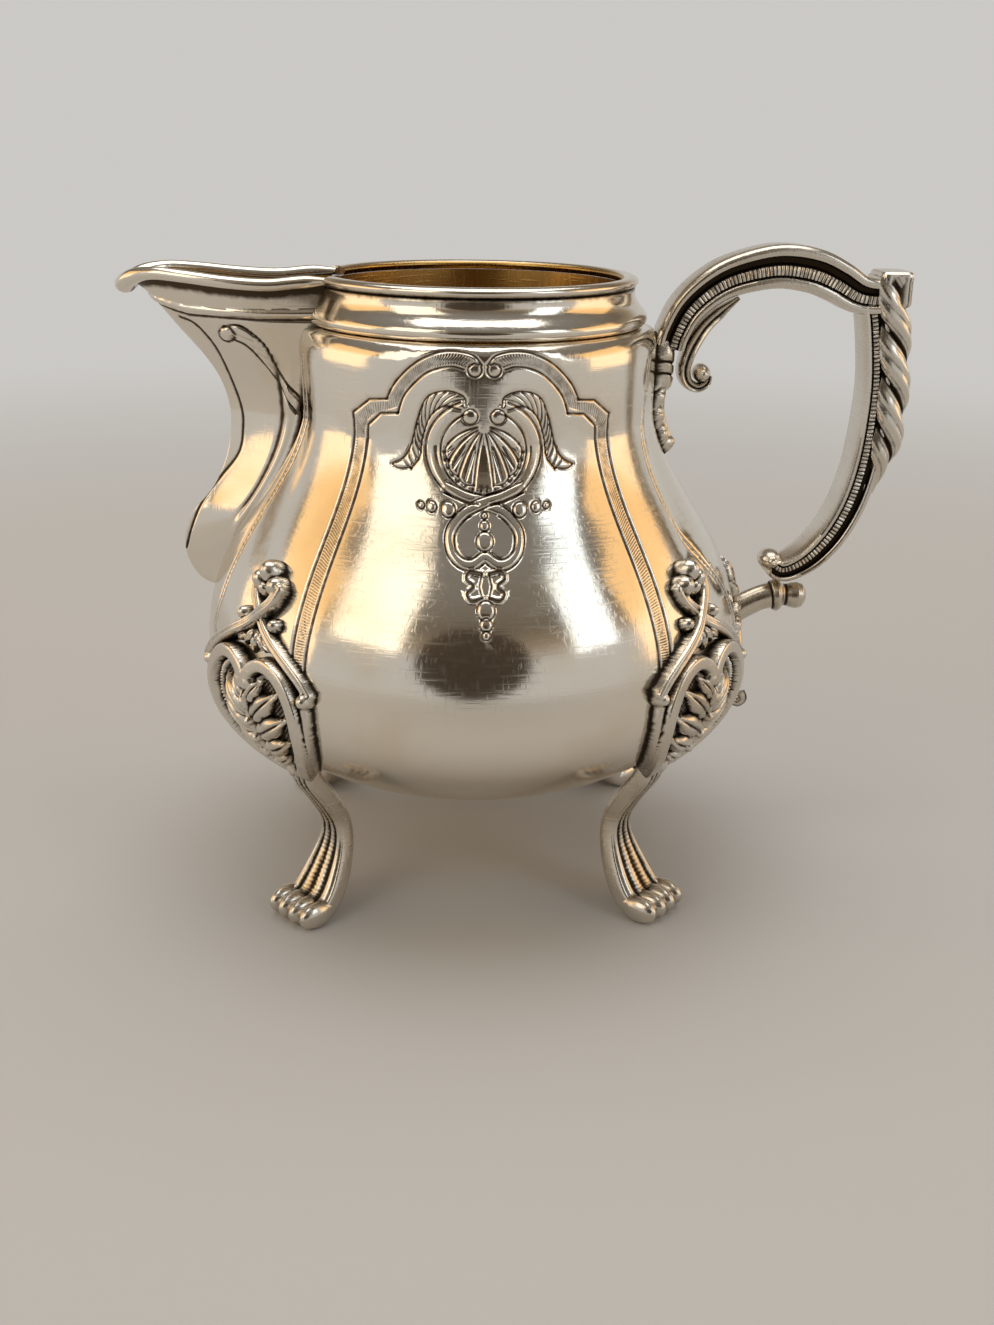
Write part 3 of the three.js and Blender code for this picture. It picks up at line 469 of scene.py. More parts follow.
class Sculpt:
    """A mesh in the making: points in jug millimetres, faces, and the patina and painted shade at each
    point.
    """

    OUTSIDE = 0
    LINING = 1

    def __init__(self) -> None:
        """Starts with no points."""
        self.points: list[Array] = []
        self.patina: list[Array] = []
        self.faces: list[Sequence[int]] = []
        self.tones: list[int] = []
        self.count = 0

    def add(self, points: Array, patina: Array | float = 0.0) -> Array:
        """Takes in points.

        Args:
            points: any grid of points, with x, y and z last.
            patina: patina and painted shade, 0 for bright to 1 for dark, for all or for each.

        Returns:
            The points' numbers, in the same grid.
        """
        shape = points.shape[:-1]
        total = int(np.prod(shape))
        self.points.append(np.asarray(points, float).reshape(-1, 3))
        self.patina.append(np.array(np.broadcast_to(patina, shape), float).reshape(-1))
        numbers = np.arange(self.count, self.count + total).reshape(shape)
        self.count += total
        return numbers

    def faces_of(self, corners: Array, tone: int = OUTSIDE) -> None:
        """Takes in faces, one to a row of point numbers."""
        self.faces.extend(corners.tolist())
        self.tones.extend([tone] * len(corners))

    def quads(self, grid: Array, wrap: bool = False, tone: int = OUTSIDE) -> None:
        """Covers a grid of points with quads.

        Args:
            grid: point numbers in rows and columns.
            wrap: whether the last column meets the first.
            tone: which material the faces take.
        """
        if wrap:
            grid = np.concatenate([grid, grid[:, :1]], axis=1)
        corners = (grid[:-1, :-1], grid[:-1, 1:], grid[1:, 1:], grid[1:, :-1])
        self.faces_of(np.stack(corners, axis=-1).reshape(-1, 4), tone)

    def cap(self, ring: Array) -> None:
        """Closes a ring of points with one face."""
        self.faces_of(ring[None, :])

    def seam(self, first: Array, second: Array) -> None:
        """Joins two chains of points that run the same way with triangles.

        Args:
            first: point numbers of one chain.
            second: point numbers of the other.
        """
        i = j = 0
        while i < len(first) - 1 or j < len(second) - 1:
            ahead = (i + 1) / len(first) <= (j + 1) / len(second)
            if j == len(second) - 1 or (ahead and i < len(first) - 1):
                corners = [first[i], first[i + 1], second[j]]
                i += 1
            else:
                corners = [first[i], second[j + 1], second[j]]
                j += 1
            self.faces_of(np.array([corners]))

    def tube(self, rings: Array, patina: Array | float = 0.0) -> "Sculpt":
        """Adds a closed solid through rings of points, with a flat cap at each end.

        Args:
            rings: the points, one ring to a row.
            patina: patina and painted shade, 0 for bright to 1 for dark, for all or for each.

        Returns:
            The sculpt itself.
        """
        grid = self.add(rings, patina)
        self.quads(grid, wrap=True)
        self.cap(grid[0])
        self.cap(grid[-1])
        return self

    def dome(self, centre: Sequence[float], axes: Array, count: int = 20) -> None:
        """Adds a closed, bright ellipsoid.

        Args:
            centre: its middle.
            axes: its three half-axes, one to a row.
            count: how many points lie round it.
        """
        rise = np.linspace(-math.pi / 2, math.pi / 2, count // 2 + 1)[1:-1]
        level, turn = np.meshgrid(rise, around(count), indexing="ij")
        flat = np.cos(level)
        unit = np.stack([flat * np.cos(turn), flat * np.sin(turn), np.sin(level)], axis=-1)
        middle = np.asarray(centre, float)
        grid = self.add(middle + unit @ axes)
        poles = self.add(middle + np.array([-axes[2], axes[2]]))
        self.quads(grid, wrap=True)
        for pole, ring in zip(poles, (grid[0], grid[-1])):
            self.faces_of(np.stack([np.full(count, pole), ring, np.roll(ring, -1)], axis=-1))

    def relief(self, points: Array, normals: Array, height: Array, patina: Array, sunk: float = 0.5,
               edge: float = -0.2) -> "Sculpt":
        """Adds a closed solid that stands on a curved wall by a grid of heights.

        Args:
            points: the wall's points, in rows and columns.
            normals: the wall's outward directions there.
            height: how far the solid stands off the wall.
            patina: 0 for bright to 1 for dark.
            sunk: how far its underside lies in the wall.
            edge: the height below which nothing is made.

        Returns:
            The sculpt itself.
        """
        first, last = slice(0, -1), slice(1, None)
        corners = [(rows, columns) for rows in (first, last) for columns in (first, last)]
        highest = np.max([height[corner] for corner in corners], axis=0)
        live = np.pad(highest > edge, 1)
        for _ in range(3):
            falling = live[:-1, :-1] & live[1:, 1:] & ~live[:-1, 1:] & ~live[1:, :-1]
            live[:-1, 1:] |= falling
            rising = live[:-1, 1:] & live[1:, :-1] & ~live[:-1, :-1] & ~live[1:, 1:]
            live[:-1, :-1] |= rising
        cells = live[1:-1, 1:-1]
        used = np.zeros(height.shape, bool)
        for corner in corners:
            used[corner] |= cells
        top, under = np.full(height.shape, -1), np.full(height.shape, -1)
        lift = np.maximum(height, edge)[..., None]
        top[used] = self.add((points + normals * lift)[used], patina[used])
        under[used] = self.add((points - normals * sunk)[used], 1.0)
        r, c = np.nonzero(cells)
        ring = ((r, c), (r, c + 1), (r + 1, c + 1), (r + 1, c))
        for sheet, order in ((top, (0, 1, 2, 3)), (under, (0, 3, 2, 1))):
            self.faces_of(np.stack([sheet[ring[k]] for k in order], axis=-1))
        sides = (
            (live[:-2, 1:-1], (0, 0), (0, 1)), (live[2:, 1:-1], (1, 1), (1, 0)),
            (live[1:-1, :-2], (1, 0), (0, 0)), (live[1:-1, 2:], (0, 1), (1, 1)),
        )
        for beyond, start, end in sides:
            r, c = np.nonzero(cells & ~beyond)
            near, far = (r + start[0], c + start[1]), (r + end[0], c + end[1])
            self.faces_of(np.stack([top[far], top[near], under[near], under[far]], axis=-1))
        return self

    def piece(self, name: str, node: str, slot: Slot, dressing: Dressing, crease: float = 42.0) -> None:
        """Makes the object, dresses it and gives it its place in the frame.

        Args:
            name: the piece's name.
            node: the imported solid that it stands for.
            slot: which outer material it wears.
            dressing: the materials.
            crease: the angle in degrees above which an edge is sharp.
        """
        mesh = bpy.data.meshes.new(name)
        points = (np.vstack(self.points) + np.array([AXIS_X, 0.0, 0.0])) * MM
        mesh.from_pydata(points, [], self.faces)
        mesh.polygons.foreach_set("material_index", np.array(self.tones, np.int32))
        # The point attribute holds patina and painted shade, 0 for bright to 1 for dark.
        mesh.attributes.new("patina", "FLOAT", "POINT").data.foreach_set(
            "value", np.concatenate(self.patina).astype(np.float32))
        for material in dressing.materials(slot):
            mesh.materials.append(material)
        work = bmesh.new()
        work.from_mesh(mesh)
        bmesh.ops.recalc_face_normals(work, faces=work.faces)
        work.to_mesh(mesh)
        work.free()
        mesh.polygons.foreach_set("use_smooth", np.ones(len(mesh.polygons), bool))
        mesh.set_sharp_from_angle(angle=math.radians(crease))
        mesh.update()
        made = placed(name, mesh)
        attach(made, "root")
        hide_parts(node)
        mesh.calc_loop_triangles()
        LOG.info("%s: %d points, %d triangles", name, len(points), len(mesh.loop_triangles))


class Relief:
    """Heights and patina over the points of a sheet, built up stroke by stroke."""

    def __init__(self, u: Array, v: Array, ground: float = 0.0) -> None:
        """Starts as a plain ground over the sheet's points.

        Args:
            u: the points' first coordinate.
            v: the points' second coordinate.
            ground: the height to start from.
        """
        self.u = u
        self.v = v
        self.height = np.full(u.shape, ground)
        self.patina = np.zeros(u.shape)

    def near(self, line: Array, reach: float) -> tuple[Array, Array]:
        """Distance and share of a line for every point, in the sheet's own grid."""
        gap, share = near_line(self.u.ravel(), self.v.ravel(), line, reach)
        return gap.reshape(self.u.shape), share.reshape(self.u.shape)

    def _lift(self, crown: Array, covered: Array) -> None:
        """Raises the covered points to a crown, where it stands above what is there."""
        self.height = np.where(covered & (crown > self.height), crown, self.height)

    def cut(self, line: Array, half: float, depth: float, dark: float = 1.0) -> None:
        """Engraves a line, with patina at its bottom.

        Args:
            line: the cut's middle line.
            half: half its width.
            depth: how deep it goes.
            dark: the patina at its bottom.
        """
        reach = half * 3
        gap, _ = self.near(line, reach)
        trough = np.where(gap < reach, bell(gap, half), 0.0)
        self.height = self.height - depth * trough
        self.patina = np.maximum(self.patina, dark * trough)

    def wire(self, line: Array, half: float | Pair, height: float, base: float = 0.0,
             flat: float = 2.0) -> None:
        """Raises a rounded strap along a line.

        Args:
            line: the strap's middle line.
            half: half its width, or that at its start and at its end.
            height: how far its crown stands above the base.
            base: the height that it springs from.
            flat: 2 for a round crown, more for a flatter one.
        """
        start, end = half if isinstance(half, tuple) else (half, half)
        gap, share = self.near(line, max(start, end) * 1.6)
        width = lerp(start, end, share)
        within = np.clip(gap / width, 0.0, 1.0)
        crown = base + height * (1.0 - within ** flat) ** (1.0 / flat)
        self._lift(crown, gap < width)

    def boss(self, centre: Pair, radii: Pair, height: float, base: float = 0.0) -> None:
        """Raises a domed boss.

        Args:
            centre: its middle.
            radii: its two half-widths.
            height: how far it stands above the base.
            base: the height that it springs from.
        """
        far = np.hypot((self.u - centre[0]) / radii[0], (self.v - centre[1]) / radii[1])
        crown = base + height * np.sqrt(np.clip(1.0 - far ** 2, 0.0, 1.0))
        self._lift(crown, far < 1.0)

    def leaf(self, root: Pair, tip: Pair, width: float, height: float, base: float = 0.0) -> None:
        """Raises a pointed leaf with a vein and two notches in each edge.

        Args:
            root: where the leaf springs.
            tip: where it ends.
            width: half its greatest width.
            height: how far it stands above the base.
            base: the height that it springs from.
        """
        run = np.subtract(tip, root)
        length = float(np.hypot(*run))
        du, dv = self.u - root[0], self.v - root[1]
        along = (du * run[0] + dv * run[1]) / length ** 2
        across = np.abs(dv * run[0] - du * run[1]) / length
        held = np.clip(along, 0.0, 1.0)
        swell = np.sin(np.pi * held ** 0.75)
        lobes = 0.78 + 0.22 * np.abs(np.sin(np.pi * 2.5 * held))
        edge = np.maximum(width * swell * lobes, SMALL)
        within = np.clip(across / edge, 0.0, 1.0)
        vein = 0.3 * height * bell(across, 0.14 * width)
        crown = base + height * (0.35 + 0.65 * swell) * np.sqrt(1.0 - within ** 2) - vein
        self._lift(crown, (along > 0.0) & (along < 1.0) & (across < edge))


# Body


@dataclass(frozen=True)
class BodyShape:
    """The turned form of the pot, which every other piece is seated on."""

    belly_radius: float = float(BODY_HIGH[1] - BODY_LOW[1]) / 2
    base_z: float = float(BODY_LOW[2])
    top_z: float = float(BODY_HIGH[2])
    wall: float = 0.9
    base_disc: float = 8.0
    belly_z: float = 41.3
    neck_z: float = 79.3
    neck_radius: float = 29.0
    shoulder_z: float = 91.3
    top_radius: float = 26.4
    crease_depth: float = 0.9
    crease_width: float = 3.2
    crease_low: float = 42.0
    crease_high: float = 20.0

    @cached_property
    def outline(self) -> Array:
        """The outer (radius, height) line from the base's middle to the shoulder's edge."""
        start = math.asin(self.base_disc / self.belly_radius)
        turn = np.linspace(start, math.pi / 2, 120)
        drop = self.belly_z - self.base_z
        bowl = np.column_stack([self.belly_radius * np.sin(turn), self.belly_z - drop * np.cos(turn)])
        rise = self.neck_z - self.belly_z
        sweep = bezier([
            (self.belly_radius, self.belly_z), (self.belly_radius, self.belly_z + 0.47 * rise),
            (self.neck_radius + 2.5, self.neck_z - 0.34 * rise), (self.neck_radius, self.neck_z),
        ], 120)
        shoulder = bezier([
            (self.neck_radius, self.shoulder_z), (self.neck_radius, self.top_z),
            (self.top_radius, self.top_z),
        ], 24)
        disc = np.array([[0.0, bowl[0, 1]]])
        return np.vstack([disc, bowl, sweep[1:], shoulder])

    @cached_property
    def slope(self) -> Array:
        """The outward (radius, height) direction along the outline."""
        return -left_of(self.outline)

    def radius(self, z: Array | float) -> Array:
        """The outer radius at a height."""
        return np.interp(z, self.outline[1:, 1], self.outline[1:, 0])

    def crease(self, angle: Array, z: Array) -> Array:
        """How deep the four soft folds of the sides lie at an angle and a height.

        Args:
            angle: angles about the axis, in radians.
            z: heights.

        Returns:
            The depths.
        """
        drop = smooth(z, self.belly_z, self.neck_z)
        fold = np.radians(lerp(self.crease_low, self.crease_high, drop))
        across = (np.arcsin(np.abs(np.sin(angle))) - fold) * self.radius(z)
        fade = smooth(z, self.belly_z, lerp(self.belly_z, self.neck_z, 0.4))
        fade = fade * (1.0 - smooth(z, self.neck_z, self.shoulder_z))
        return self.crease_depth * fade * bell(across, self.crease_width)

    def wall_at(self, across: Array, z: Array, angle: float) -> tuple[Array, Array]:
        """Points and outward directions of the wall round one upright line of it.

        Args:
            across: sideways distances from the line.
            z: heights.
            angle: the line's angle about the axis, in radians.

        Returns:
            The points and the directions.
        """
        radius = self.radius(z)
        turn = angle + np.arcsin(np.clip(across / radius, -1.0, 1.0))
        radius = radius - self.crease(turn, z)
        out = np.interp(z, self.outline[1:, 1], self.slope[1:, 0])
        up = np.interp(z, self.outline[1:, 1], self.slope[1:, 1])
        points = np.stack([radius * np.cos(turn), radius * np.sin(turn), z], axis=-1)
        return points, np.stack([out * np.cos(turn), out * np.sin(turn), up], axis=-1)


@dataclass(frozen=True)
class Stroke:
    """One chased line on the body: cut into it, or raised from it where the height is above zero.

    It is there on both sides of the middle, unless it runs one way across it.
    """

    line: Array
    half: float
    height: float
    dark: float = 0.75
    one_way: bool = False


@dataclass
class Chasing:
    """The strapwork panel, shell and pendants chased on the front and back, and the side borders."""

    shape: BodyShape
    line_half: float = 0.18
    line_depth: float = 0.2
    outer_angle: Pair = (40.0, 41.0)
    inner_angle: Pair = (36.8, 35.8)
    panel_low_z: float = 44.0
    border_gap: float = 0.65
    border_z: Pair = (45.0, 90.5)
    bead_half: float = 0.26
    bead_pitch: float = 0.75

    @cached_property
    def strokes(self) -> list[Stroke]:
        """Every line of one half of the front, in (distance from the middle, height)."""
        return [*self._panel(), *self._medallion(), *self._wing(), *self._loop(), *self._pendant()]

    def _engraved(self, line: Array, weight: float = 1.0, dark: float = 0.75) -> Stroke:
        """A cut line, finer or bolder than the usual one."""
        return Stroke(line, self.line_half * weight, -self.line_depth * weight, dark)

    def _dots(self, *spots: Sequence[float]) -> list[Stroke]:
        """Raised beads with a cut ring round each.

        Args:
            spots: each bead's distance, height, radius and rise.

        Returns:
            The strokes.
        """
        made = []
        for x, z, radius, rise in spots:
            made.append(Stroke(np.array([[x, z], [x, z + 0.01]]), radius, rise))
            made.append(self._engraved(arc((x, z), (radius, radius), 0, 360, 17), 0.8))
        return made

    def _side(self, angles: Pair, steps: Line) -> Array:
        """A panel line up the side and through its steps to the arch.

        Args:
            angles: the line's degrees from the middle, below and above.
            steps: the points that lead to the arch.

        Returns:
            The line's points.
        """
        z = np.linspace(self.panel_low_z, steps[0][1] - 1.2, 40)
        share = (z - z[0]) / (z[-1] - z[0])
        x = self.shape.radius(z) * np.sin(np.radians(lerp(angles[0], angles[1], share)))
        return np.vstack([np.column_stack([x, z]), np.asarray(steps, float)])

    def _panel(self) -> list[Stroke]:
        """The stepped panel frame with its arched top, hatched between two lines.

        Returns:
            The strokes.
        """
        outer = self._side(self.outer_angle, [(19.2, 82.9), (16.6, 85.2), (14.1, 85.5)])
        inner = self._side(self.inner_angle, [(16.9, 81.4), (15.0, 83.35), (12.5, 83.6)])
        crown = spline([(14.1, 85.5), (12.9, 87.9), (10.4, 90.6), (7.6, 92.3), (4.5, 92.9), (1.6, 92.3),
                        (0.4, 90.9)], 40)
        eaves = spline([(12.5, 83.6), (11.4, 86.45), (8.9, 89.2), (6.8, 90.3), (4.6, 90.7),
                        (2.9, 90.3)], 30)
        curl = arc((1.4, 90.2), (1.0, 0.95), 150, 480, 20)
        made = [self._engraved(line, 1.15) for line in (outer, inner, crown, eaves, curl)]
        first, second = (resample(np.vstack(pair), 150) for pair in ((outer, crown), (inner, eaves)))
        for start, end in zip(first[:-2], second[2:]):
            hatch = np.array([lerp(start, end, 0.24), lerp(start, end, 0.78)])
            made.append(self._engraved(hatch, 0.7, 0.5))
        return made

    def _medallion(self) -> list[Stroke]:
        """The strap ring with its two balls, and the shell inside it.

        Returns:
            The strokes.
        """
        made = [
            Stroke(arc((0, 78.7), (7.4, 6.7), -78, 66, 40), 0.85, 0.3),
            self._engraved(arc((0, 78.8), (8.5, 7.5), -80, 66, 40)),
            self._engraved(arc((0, 78.6), (6.3, 5.9), -90, 70, 40)),
            *self._dots((2.0, 83.6, 1.1, 0.4)),
        ]
        hub = np.array([0.0, 82.6])
        ends = []
        for degrees in (-90, -74, -45, -16, 12):
            turn = math.radians(degrees)
            rim = np.array([5.3 * math.cos(turn), 78.6 + 4.8 * math.sin(turn)])
            bow = lerp(hub, rim, 0.6) + np.array([0.1 * rim[0], 0.7])
            if degrees > -90:
                made.append(self._engraved(bezier([lerp(hub, rim, 0.18), bow, rim], 10), 1.2))
            ends.append(rim)
        for start, end in zip(ends[1:-1], ends[2:]):
            middle = lerp(start, end, 0.5)
            scallop = bezier([start, lerp((0.0, 79.0), middle, 1.2), end], 8)
            made.append(self._engraved(scallop, 0.8))
            made.append(self._engraved(np.array([lerp(hub, middle, 0.5), middle]), 0.6, 0.4))
        for degrees in range(-86, 10, 12):
            turn = math.radians(degrees)
            spot = np.array([5.75 * math.cos(turn), 78.6 + 5.35 * math.sin(turn)])
            made.append(Stroke(np.array([spot, spot + 0.01]), 0.36, -0.16))
        return made

    def _wing(self) -> list[Stroke]:
        """The acanthus wing beside the shell, with its veins.

        Returns:
            The strokes.
        """
        outer = spline([(2.6, 85.2), (3.0, 86.5), (5.4, 87.2), (8.2, 86.2), (9.6, 83.0), (10.5, 79.4),
                        (11.6, 77.4), (13.4, 76.3)], 40)
        inner = spline([(3.3, 84.6), (5.8, 85.0), (7.8, 83.4), (8.9, 80.2), (9.3, 77.6), (10.6, 75.9)], 40)
        made = [self._engraved(outer), self._engraved(inner)]
        for share in range(2, 38, 3):
            root = inner[min(39, share + 5)]
            tip = lerp(root, outer[share], 0.94)
            bow = lerp(root, tip, 0.55) + np.array([0.5, 0.4])
            made.append(self._engraved(bezier([root, bow, tip], 8), 0.72, 0.7))
        tail = bezier([outer[-1], (12.4, 75.2), (11.2, 76.2), inner[-1]], 10)
        return [*made, self._engraved(tail)]

    def _loop(self) -> list[Stroke]:
        """The straps that cross under the shell and make a spade-shaped loop, and the beads beside.

        Returns:
            The strokes.
        """
        path = spline([(5.6, 73.6), (2.8, 72.6), (0.0, 71.7), (2.9, 70.3), (4.9, 68.0), (4.9, 65.6),
                       (3.6, 64.1), (1.9, 63.8), (0.3, 64.7)], 60)
        over = spline([(5.6, 73.6), (2.8, 72.6), (0.0, 71.7), (-2.9, 70.3), (-4.9, 68.0)], 60)
        made = [Stroke(path, 0.62, 0.25)]
        for gap in (0.7, -0.7):
            edge = beside(path, gap)
            made.extend(self._engraved(part) for part in (edge[:16], edge[25:]))
            crossing = beside(over, gap)
            made.append(replace(self._engraved(crossing[np.abs(crossing[:, 0]) < 2.4]), one_way=True))
        beads = self._dots((0, 70.0, 0.45, 0.2), (0, 68.7, 0.7, 0.25), (0, 66.7, 1.25, 0.35),
                           (5.2, 70.7, 1.05, 0.4), (7.6, 71.0, 0.75, 0.3), (9.1, 71.1, 0.5, 0.25))
        return made + beads

    def _pendant(self) -> list[Stroke]:
        """The double scroll and the row of drops below the loop.

        Returns:
            The strokes.
        """
        scroll = spline([(0.5, 62.7), (2.2, 62.9), (2.8, 62.0), (1.7, 61.1), (2.7, 60.2), (2.1, 59.3),
                         (0.5, 59.6)], 30)
        waist = np.array([[0.5, 62.7], [0.9, 61.1], [0.5, 59.6]])
        return [
            self._engraved(scroll), self._engraved(waist), Stroke(scroll, 0.45, 0.2),
            *self._dots((0, 58.0, 1.3, 0.35), (0, 56.2, 0.9, 0.3), (0, 54.8, 0.6, 0.25)),
        ]

    def border_gap_at(self, angle: Array, z: Array) -> Array:
        """How far a point lies from the side border's middle line.

        Args:
            angle: angles about the axis, in radians.
            z: heights.

        Returns:
            The distances.
        """
        by_handle = spline([(17.0, 44.0), (20.0, 52.0), (27.0, 59.0), (31.0, 67.0), (30.0, 75.0),
                            (26.0, 83.0), (24.0, 90.0)], 80)
        by_spout = spline([(17.0, 44.0), (18.4, 52.0), (18.2, 61.0), (17.0, 70.0), (16.4, 77.0),
                           (18.0, 84.0), (19.5, 90.0)], 80)
        degrees = [np.interp(z, line[:, 1], line[:, 0]) for line in (by_handle, by_spout)]
        spread = np.where(np.cos(angle) > 0.0, *degrees)
        off_axis = np.degrees(np.arcsin(np.abs(np.sin(angle))))
        return np.radians(np.abs(off_axis - spread)) * self.shape.radius(z)

    def clearance(self, angle: Array, z: Array, reach: float) -> Array:
        """How far points of the outside lie from the nearest chased line.

        Args:
            angle: angles about the axis, in radians.
            z: heights.
            reach: the largest distance of interest.

        Returns:
            The distances, up to the reach.
        """
        x = np.abs(self.shape.radius(z) * np.cos(angle))
        gap = np.full(z.shape, reach)
        for stroke in self.strokes:
            near, _ = near_line(x, z, stroke.line, reach + stroke.half)
            gap = np.minimum(gap, np.maximum(near - stroke.half, 0.0))
        low, high = self.border_z
        border = np.abs(self.border_gap_at(angle, z) - self.border_gap) - self.line_half
        near_border = (z > low + 1.0) & (z < high)
        return np.where(near_border, np.minimum(gap, np.maximum(border, 0.0)), gap)

    def relief(self, angle: Array, z: Array) -> tuple[Array, Array]:
        """The chasing's height and patina at points of the outside.

        Args:
            angle: angles about the axis, in radians.
            z: heights.

        Returns:
            The height and the patina at each point.
        """
        x = self.shape.radius(z) * np.cos(angle)
        sheet = Relief(np.abs(x), z)
        across = Relief(x, z)
        for stroke in self.strokes:
            held = across if stroke.one_way else sheet
            if stroke.height < 0:
                held.cut(stroke.line, stroke.half, -stroke.height, stroke.dark)
            else:
                held.wire(stroke.line, stroke.half, stroke.height, flat=2.6)
        sheet.height = sheet.height + across.height
        sheet.patina = np.maximum(sheet.patina, across.patina)
        low, high = self.border_z
        border = self.border_gap_at(angle, z)
        fade = smooth(z, low, low + 3.0) * (1.0 - smooth(z, high - 1.5, high))
        line = fade * bell(border - self.border_gap, self.line_half)
        dotted = 0.7 * fade * ripple(z, self.bead_pitch) * bell(border, self.bead_half)
        cut = np.maximum(line, dotted)
        return sheet.height - self.line_depth * cut, np.maximum(sheet.patina, 0.75 * cut)


@dataclass
class Pot:
    """The body shell: a thin wall that is finely meshed along its chasing and open to the spout."""

    shape: BodyShape
    columns: int = 96
    halvings: int = 4
    lower_rows: int = 36
    throat_rows: int = 13
    inner_lower_rows: int = 22
    throat_z: float = 68.0
    throat_columns: int = 3
    throat_half_width: float = 6.3
    throat_flare: float = 1.2
    spread_z: float = 12.0
    spread_angle: float = 0.9
    chased_low_z: float = 43.0

    @property
    def fine(self) -> int:
        """How many finest steps the largest cells are wide."""
        return 2 ** self.halvings

    @property
    def throat(self) -> tuple[int, int, int, int]:
        """The open way's first and last column and first and last row, in largest cells."""
        middle, end = self.columns // 2, self.lower_rows + 2 * self.throat_rows + 1
        return middle - self.throat_columns, middle + self.throat_columns, self.lower_rows, end

    @cached_property
    def chasing(self) -> Chasing:
        """The ornament of the outside."""
        return Chasing(self.shape)

    @cached_property
    def section(self) -> tuple[Array, Array]:
        """The closed wall's (radius, height) at each finest row, and the outward direction there."""
        outer = self.shape.outline
        at_throat = int(np.searchsorted(outer[:, 1], self.throat_z))
        inner = outer - self.shape.slope * self.shape.wall
        inner[:, 0] = np.maximum(inner[:, 0], 0.0)
        inner[0] = (0.0, outer[0, 1] + self.shape.wall)
        stretches = [
            (outer[:at_throat + 1], self.lower_rows), (outer[at_throat:], self.throat_rows),
            (np.array([outer[-1], inner[-1]]), 1), (inner[at_throat:][::-1], self.throat_rows),
            (inner[:at_throat + 1][::-1], self.inner_lower_rows),
        ]
        lines = [resample(line, rows * self.fine + 1)[:-1] for line, rows in stretches]
        points = np.vstack([*lines, inner[:1]])
        return points, -left_of(points)

    @property
    def outer_rows(self) -> int:
        """How many finest rows lie on the outside."""
        return (self.lower_rows + self.throat_rows) * self.fine

    def angle(self, column: Array, z: Array) -> Array:
        """The angle of a column about the axis, spread round the spout's throat.

        Args:
            column: columns in finest steps, the spout's middle at half the way round.
            z: heights.

        Returns:
            Angles in radians.
        """
        off = (column / (self.columns * self.fine) - 0.5) * 2 * math.pi
        edge = 2 * math.pi * self.throat_columns / self.columns
        wanted = np.arcsin(self.throat_half_width / self.shape.radius(z))
        widen = lerp(1.0, self.throat_flare, smooth(z, self.throat_z, self.shape.top_z))
        shift = smooth(z, self.throat_z - self.spread_z, self.throat_z) * (wanted * widen - edge)
        size = np.abs(off)
        beyond = np.clip(1 - (size - edge) / (self.spread_angle - edge), 0.0, 1.0)
        weight = np.where(size < edge, size / edge, beyond)
        return math.pi + off + np.sign(off) * shift * weight

    def _busy(self, u: Array, v: Array, size: int) -> Array:
        """Which cells are crossed by the chasing and have to be halved.

        Args:
            u: the cells' middle columns, in finest steps.
            v: the cells' middle rows, in finest steps.
            size: how many finest steps the cells are wide.

        Returns:
            True for each cell to halve.
        """
        points, _ = self.section
        row = np.minimum(v.astype(int), len(points) - 1)
        z = points[row, 1]
        angle = self.angle(u, z)
        reach = 0.8 * size * 2 * math.pi * self.shape.belly_radius / (self.columns * self.fine)
        seen = (v < self.outer_rows) & (z > self.chased_low_z)
        behind = np.sin(angle) > 0.0
        spots = np.flatnonzero(seen & ~(behind & (size <= 2)))
        busy = np.zeros(u.shape, bool)
        busy[spots] = self.chasing.clearance(angle[spots], z[spots], reach) < reach * 0.7
        return busy

    def _cells(self) -> list[tuple[int, Array]]:
        """The wall's cells, halved along the chasing.

        Returns:
            Each size with its cells' first corners, in finest steps.
        """
        size = self.fine
        low, high, sill, end = self.throat
        column, row = np.indices((self.columns, end + self.inner_lower_rows)).reshape(2, -1)
        open_way = (column >= low) & (column < high) & (row >= sill) & (row < end)
        grid = np.column_stack([column, row])[~open_way] * size
        kept = []
        while size > 1:
            split = self._busy(grid[:, 0] + size / 2, grid[:, 1] + size / 2, size)
            kept.append((size, grid[~split]))
            half = size // 2
            steps = np.array([(0, 0), (half, 0), (0, half), (half, half)])
            grid = (grid[split][:, None, :] + steps).reshape(-1, 2)
            size = half
        kept.append((1, grid))
        return kept

    def build(self, dressing: Dressing) -> None:
        """Makes the body shell.

        Args:
            dressing: the materials.
        """
        points, slope = self.section
        width = self.columns * self.fine
        last = len(points) - 1
        cells = self._cells()
        used = np.zeros((width, last + 1), bool)
        for size, at in cells:
            for du in (0, size):
                for dv in (0, size):
                    used[(at[:, 0] + du) % width, at[:, 1] + dv] = True
        used[1:, [0, last]] = False
        column, row = np.nonzero(used)
        z = points[row, 1]
        angle = self.angle(column, z)
        outside = (row < self.outer_rows) & (z > self.chased_low_z)
        height, patina = np.zeros(len(row)), np.zeros(len(row))
        height[outside], patina[outside] = self.chasing.relief(angle[outside], z[outside])
        radius = points[row, 0] - np.where(z > self.shape.belly_z, self.shape.crease(angle, z), 0.0)
        radius = np.where(row % last == 0, 0.0, radius + slope[row, 0] * height)
        level = z + slope[row, 1] * height
        made = np.stack([radius * np.cos(angle), radius * np.sin(angle), level], axis=-1)

        sculpt = Sculpt()
        numbers = np.full(used.shape, -1)
        numbers[used] = sculpt.add(made, patina)
        numbers[:, 0] = numbers[0, 0]
        numbers[:, last] = numbers[0, last]
        for size, at in cells:
            self._weld(sculpt, numbers, size, at)
        self._throat(sculpt, numbers)
        sculpt.piece("chased_body", "body_shell", Slot.POLISHED, dressing, crease=60.0)

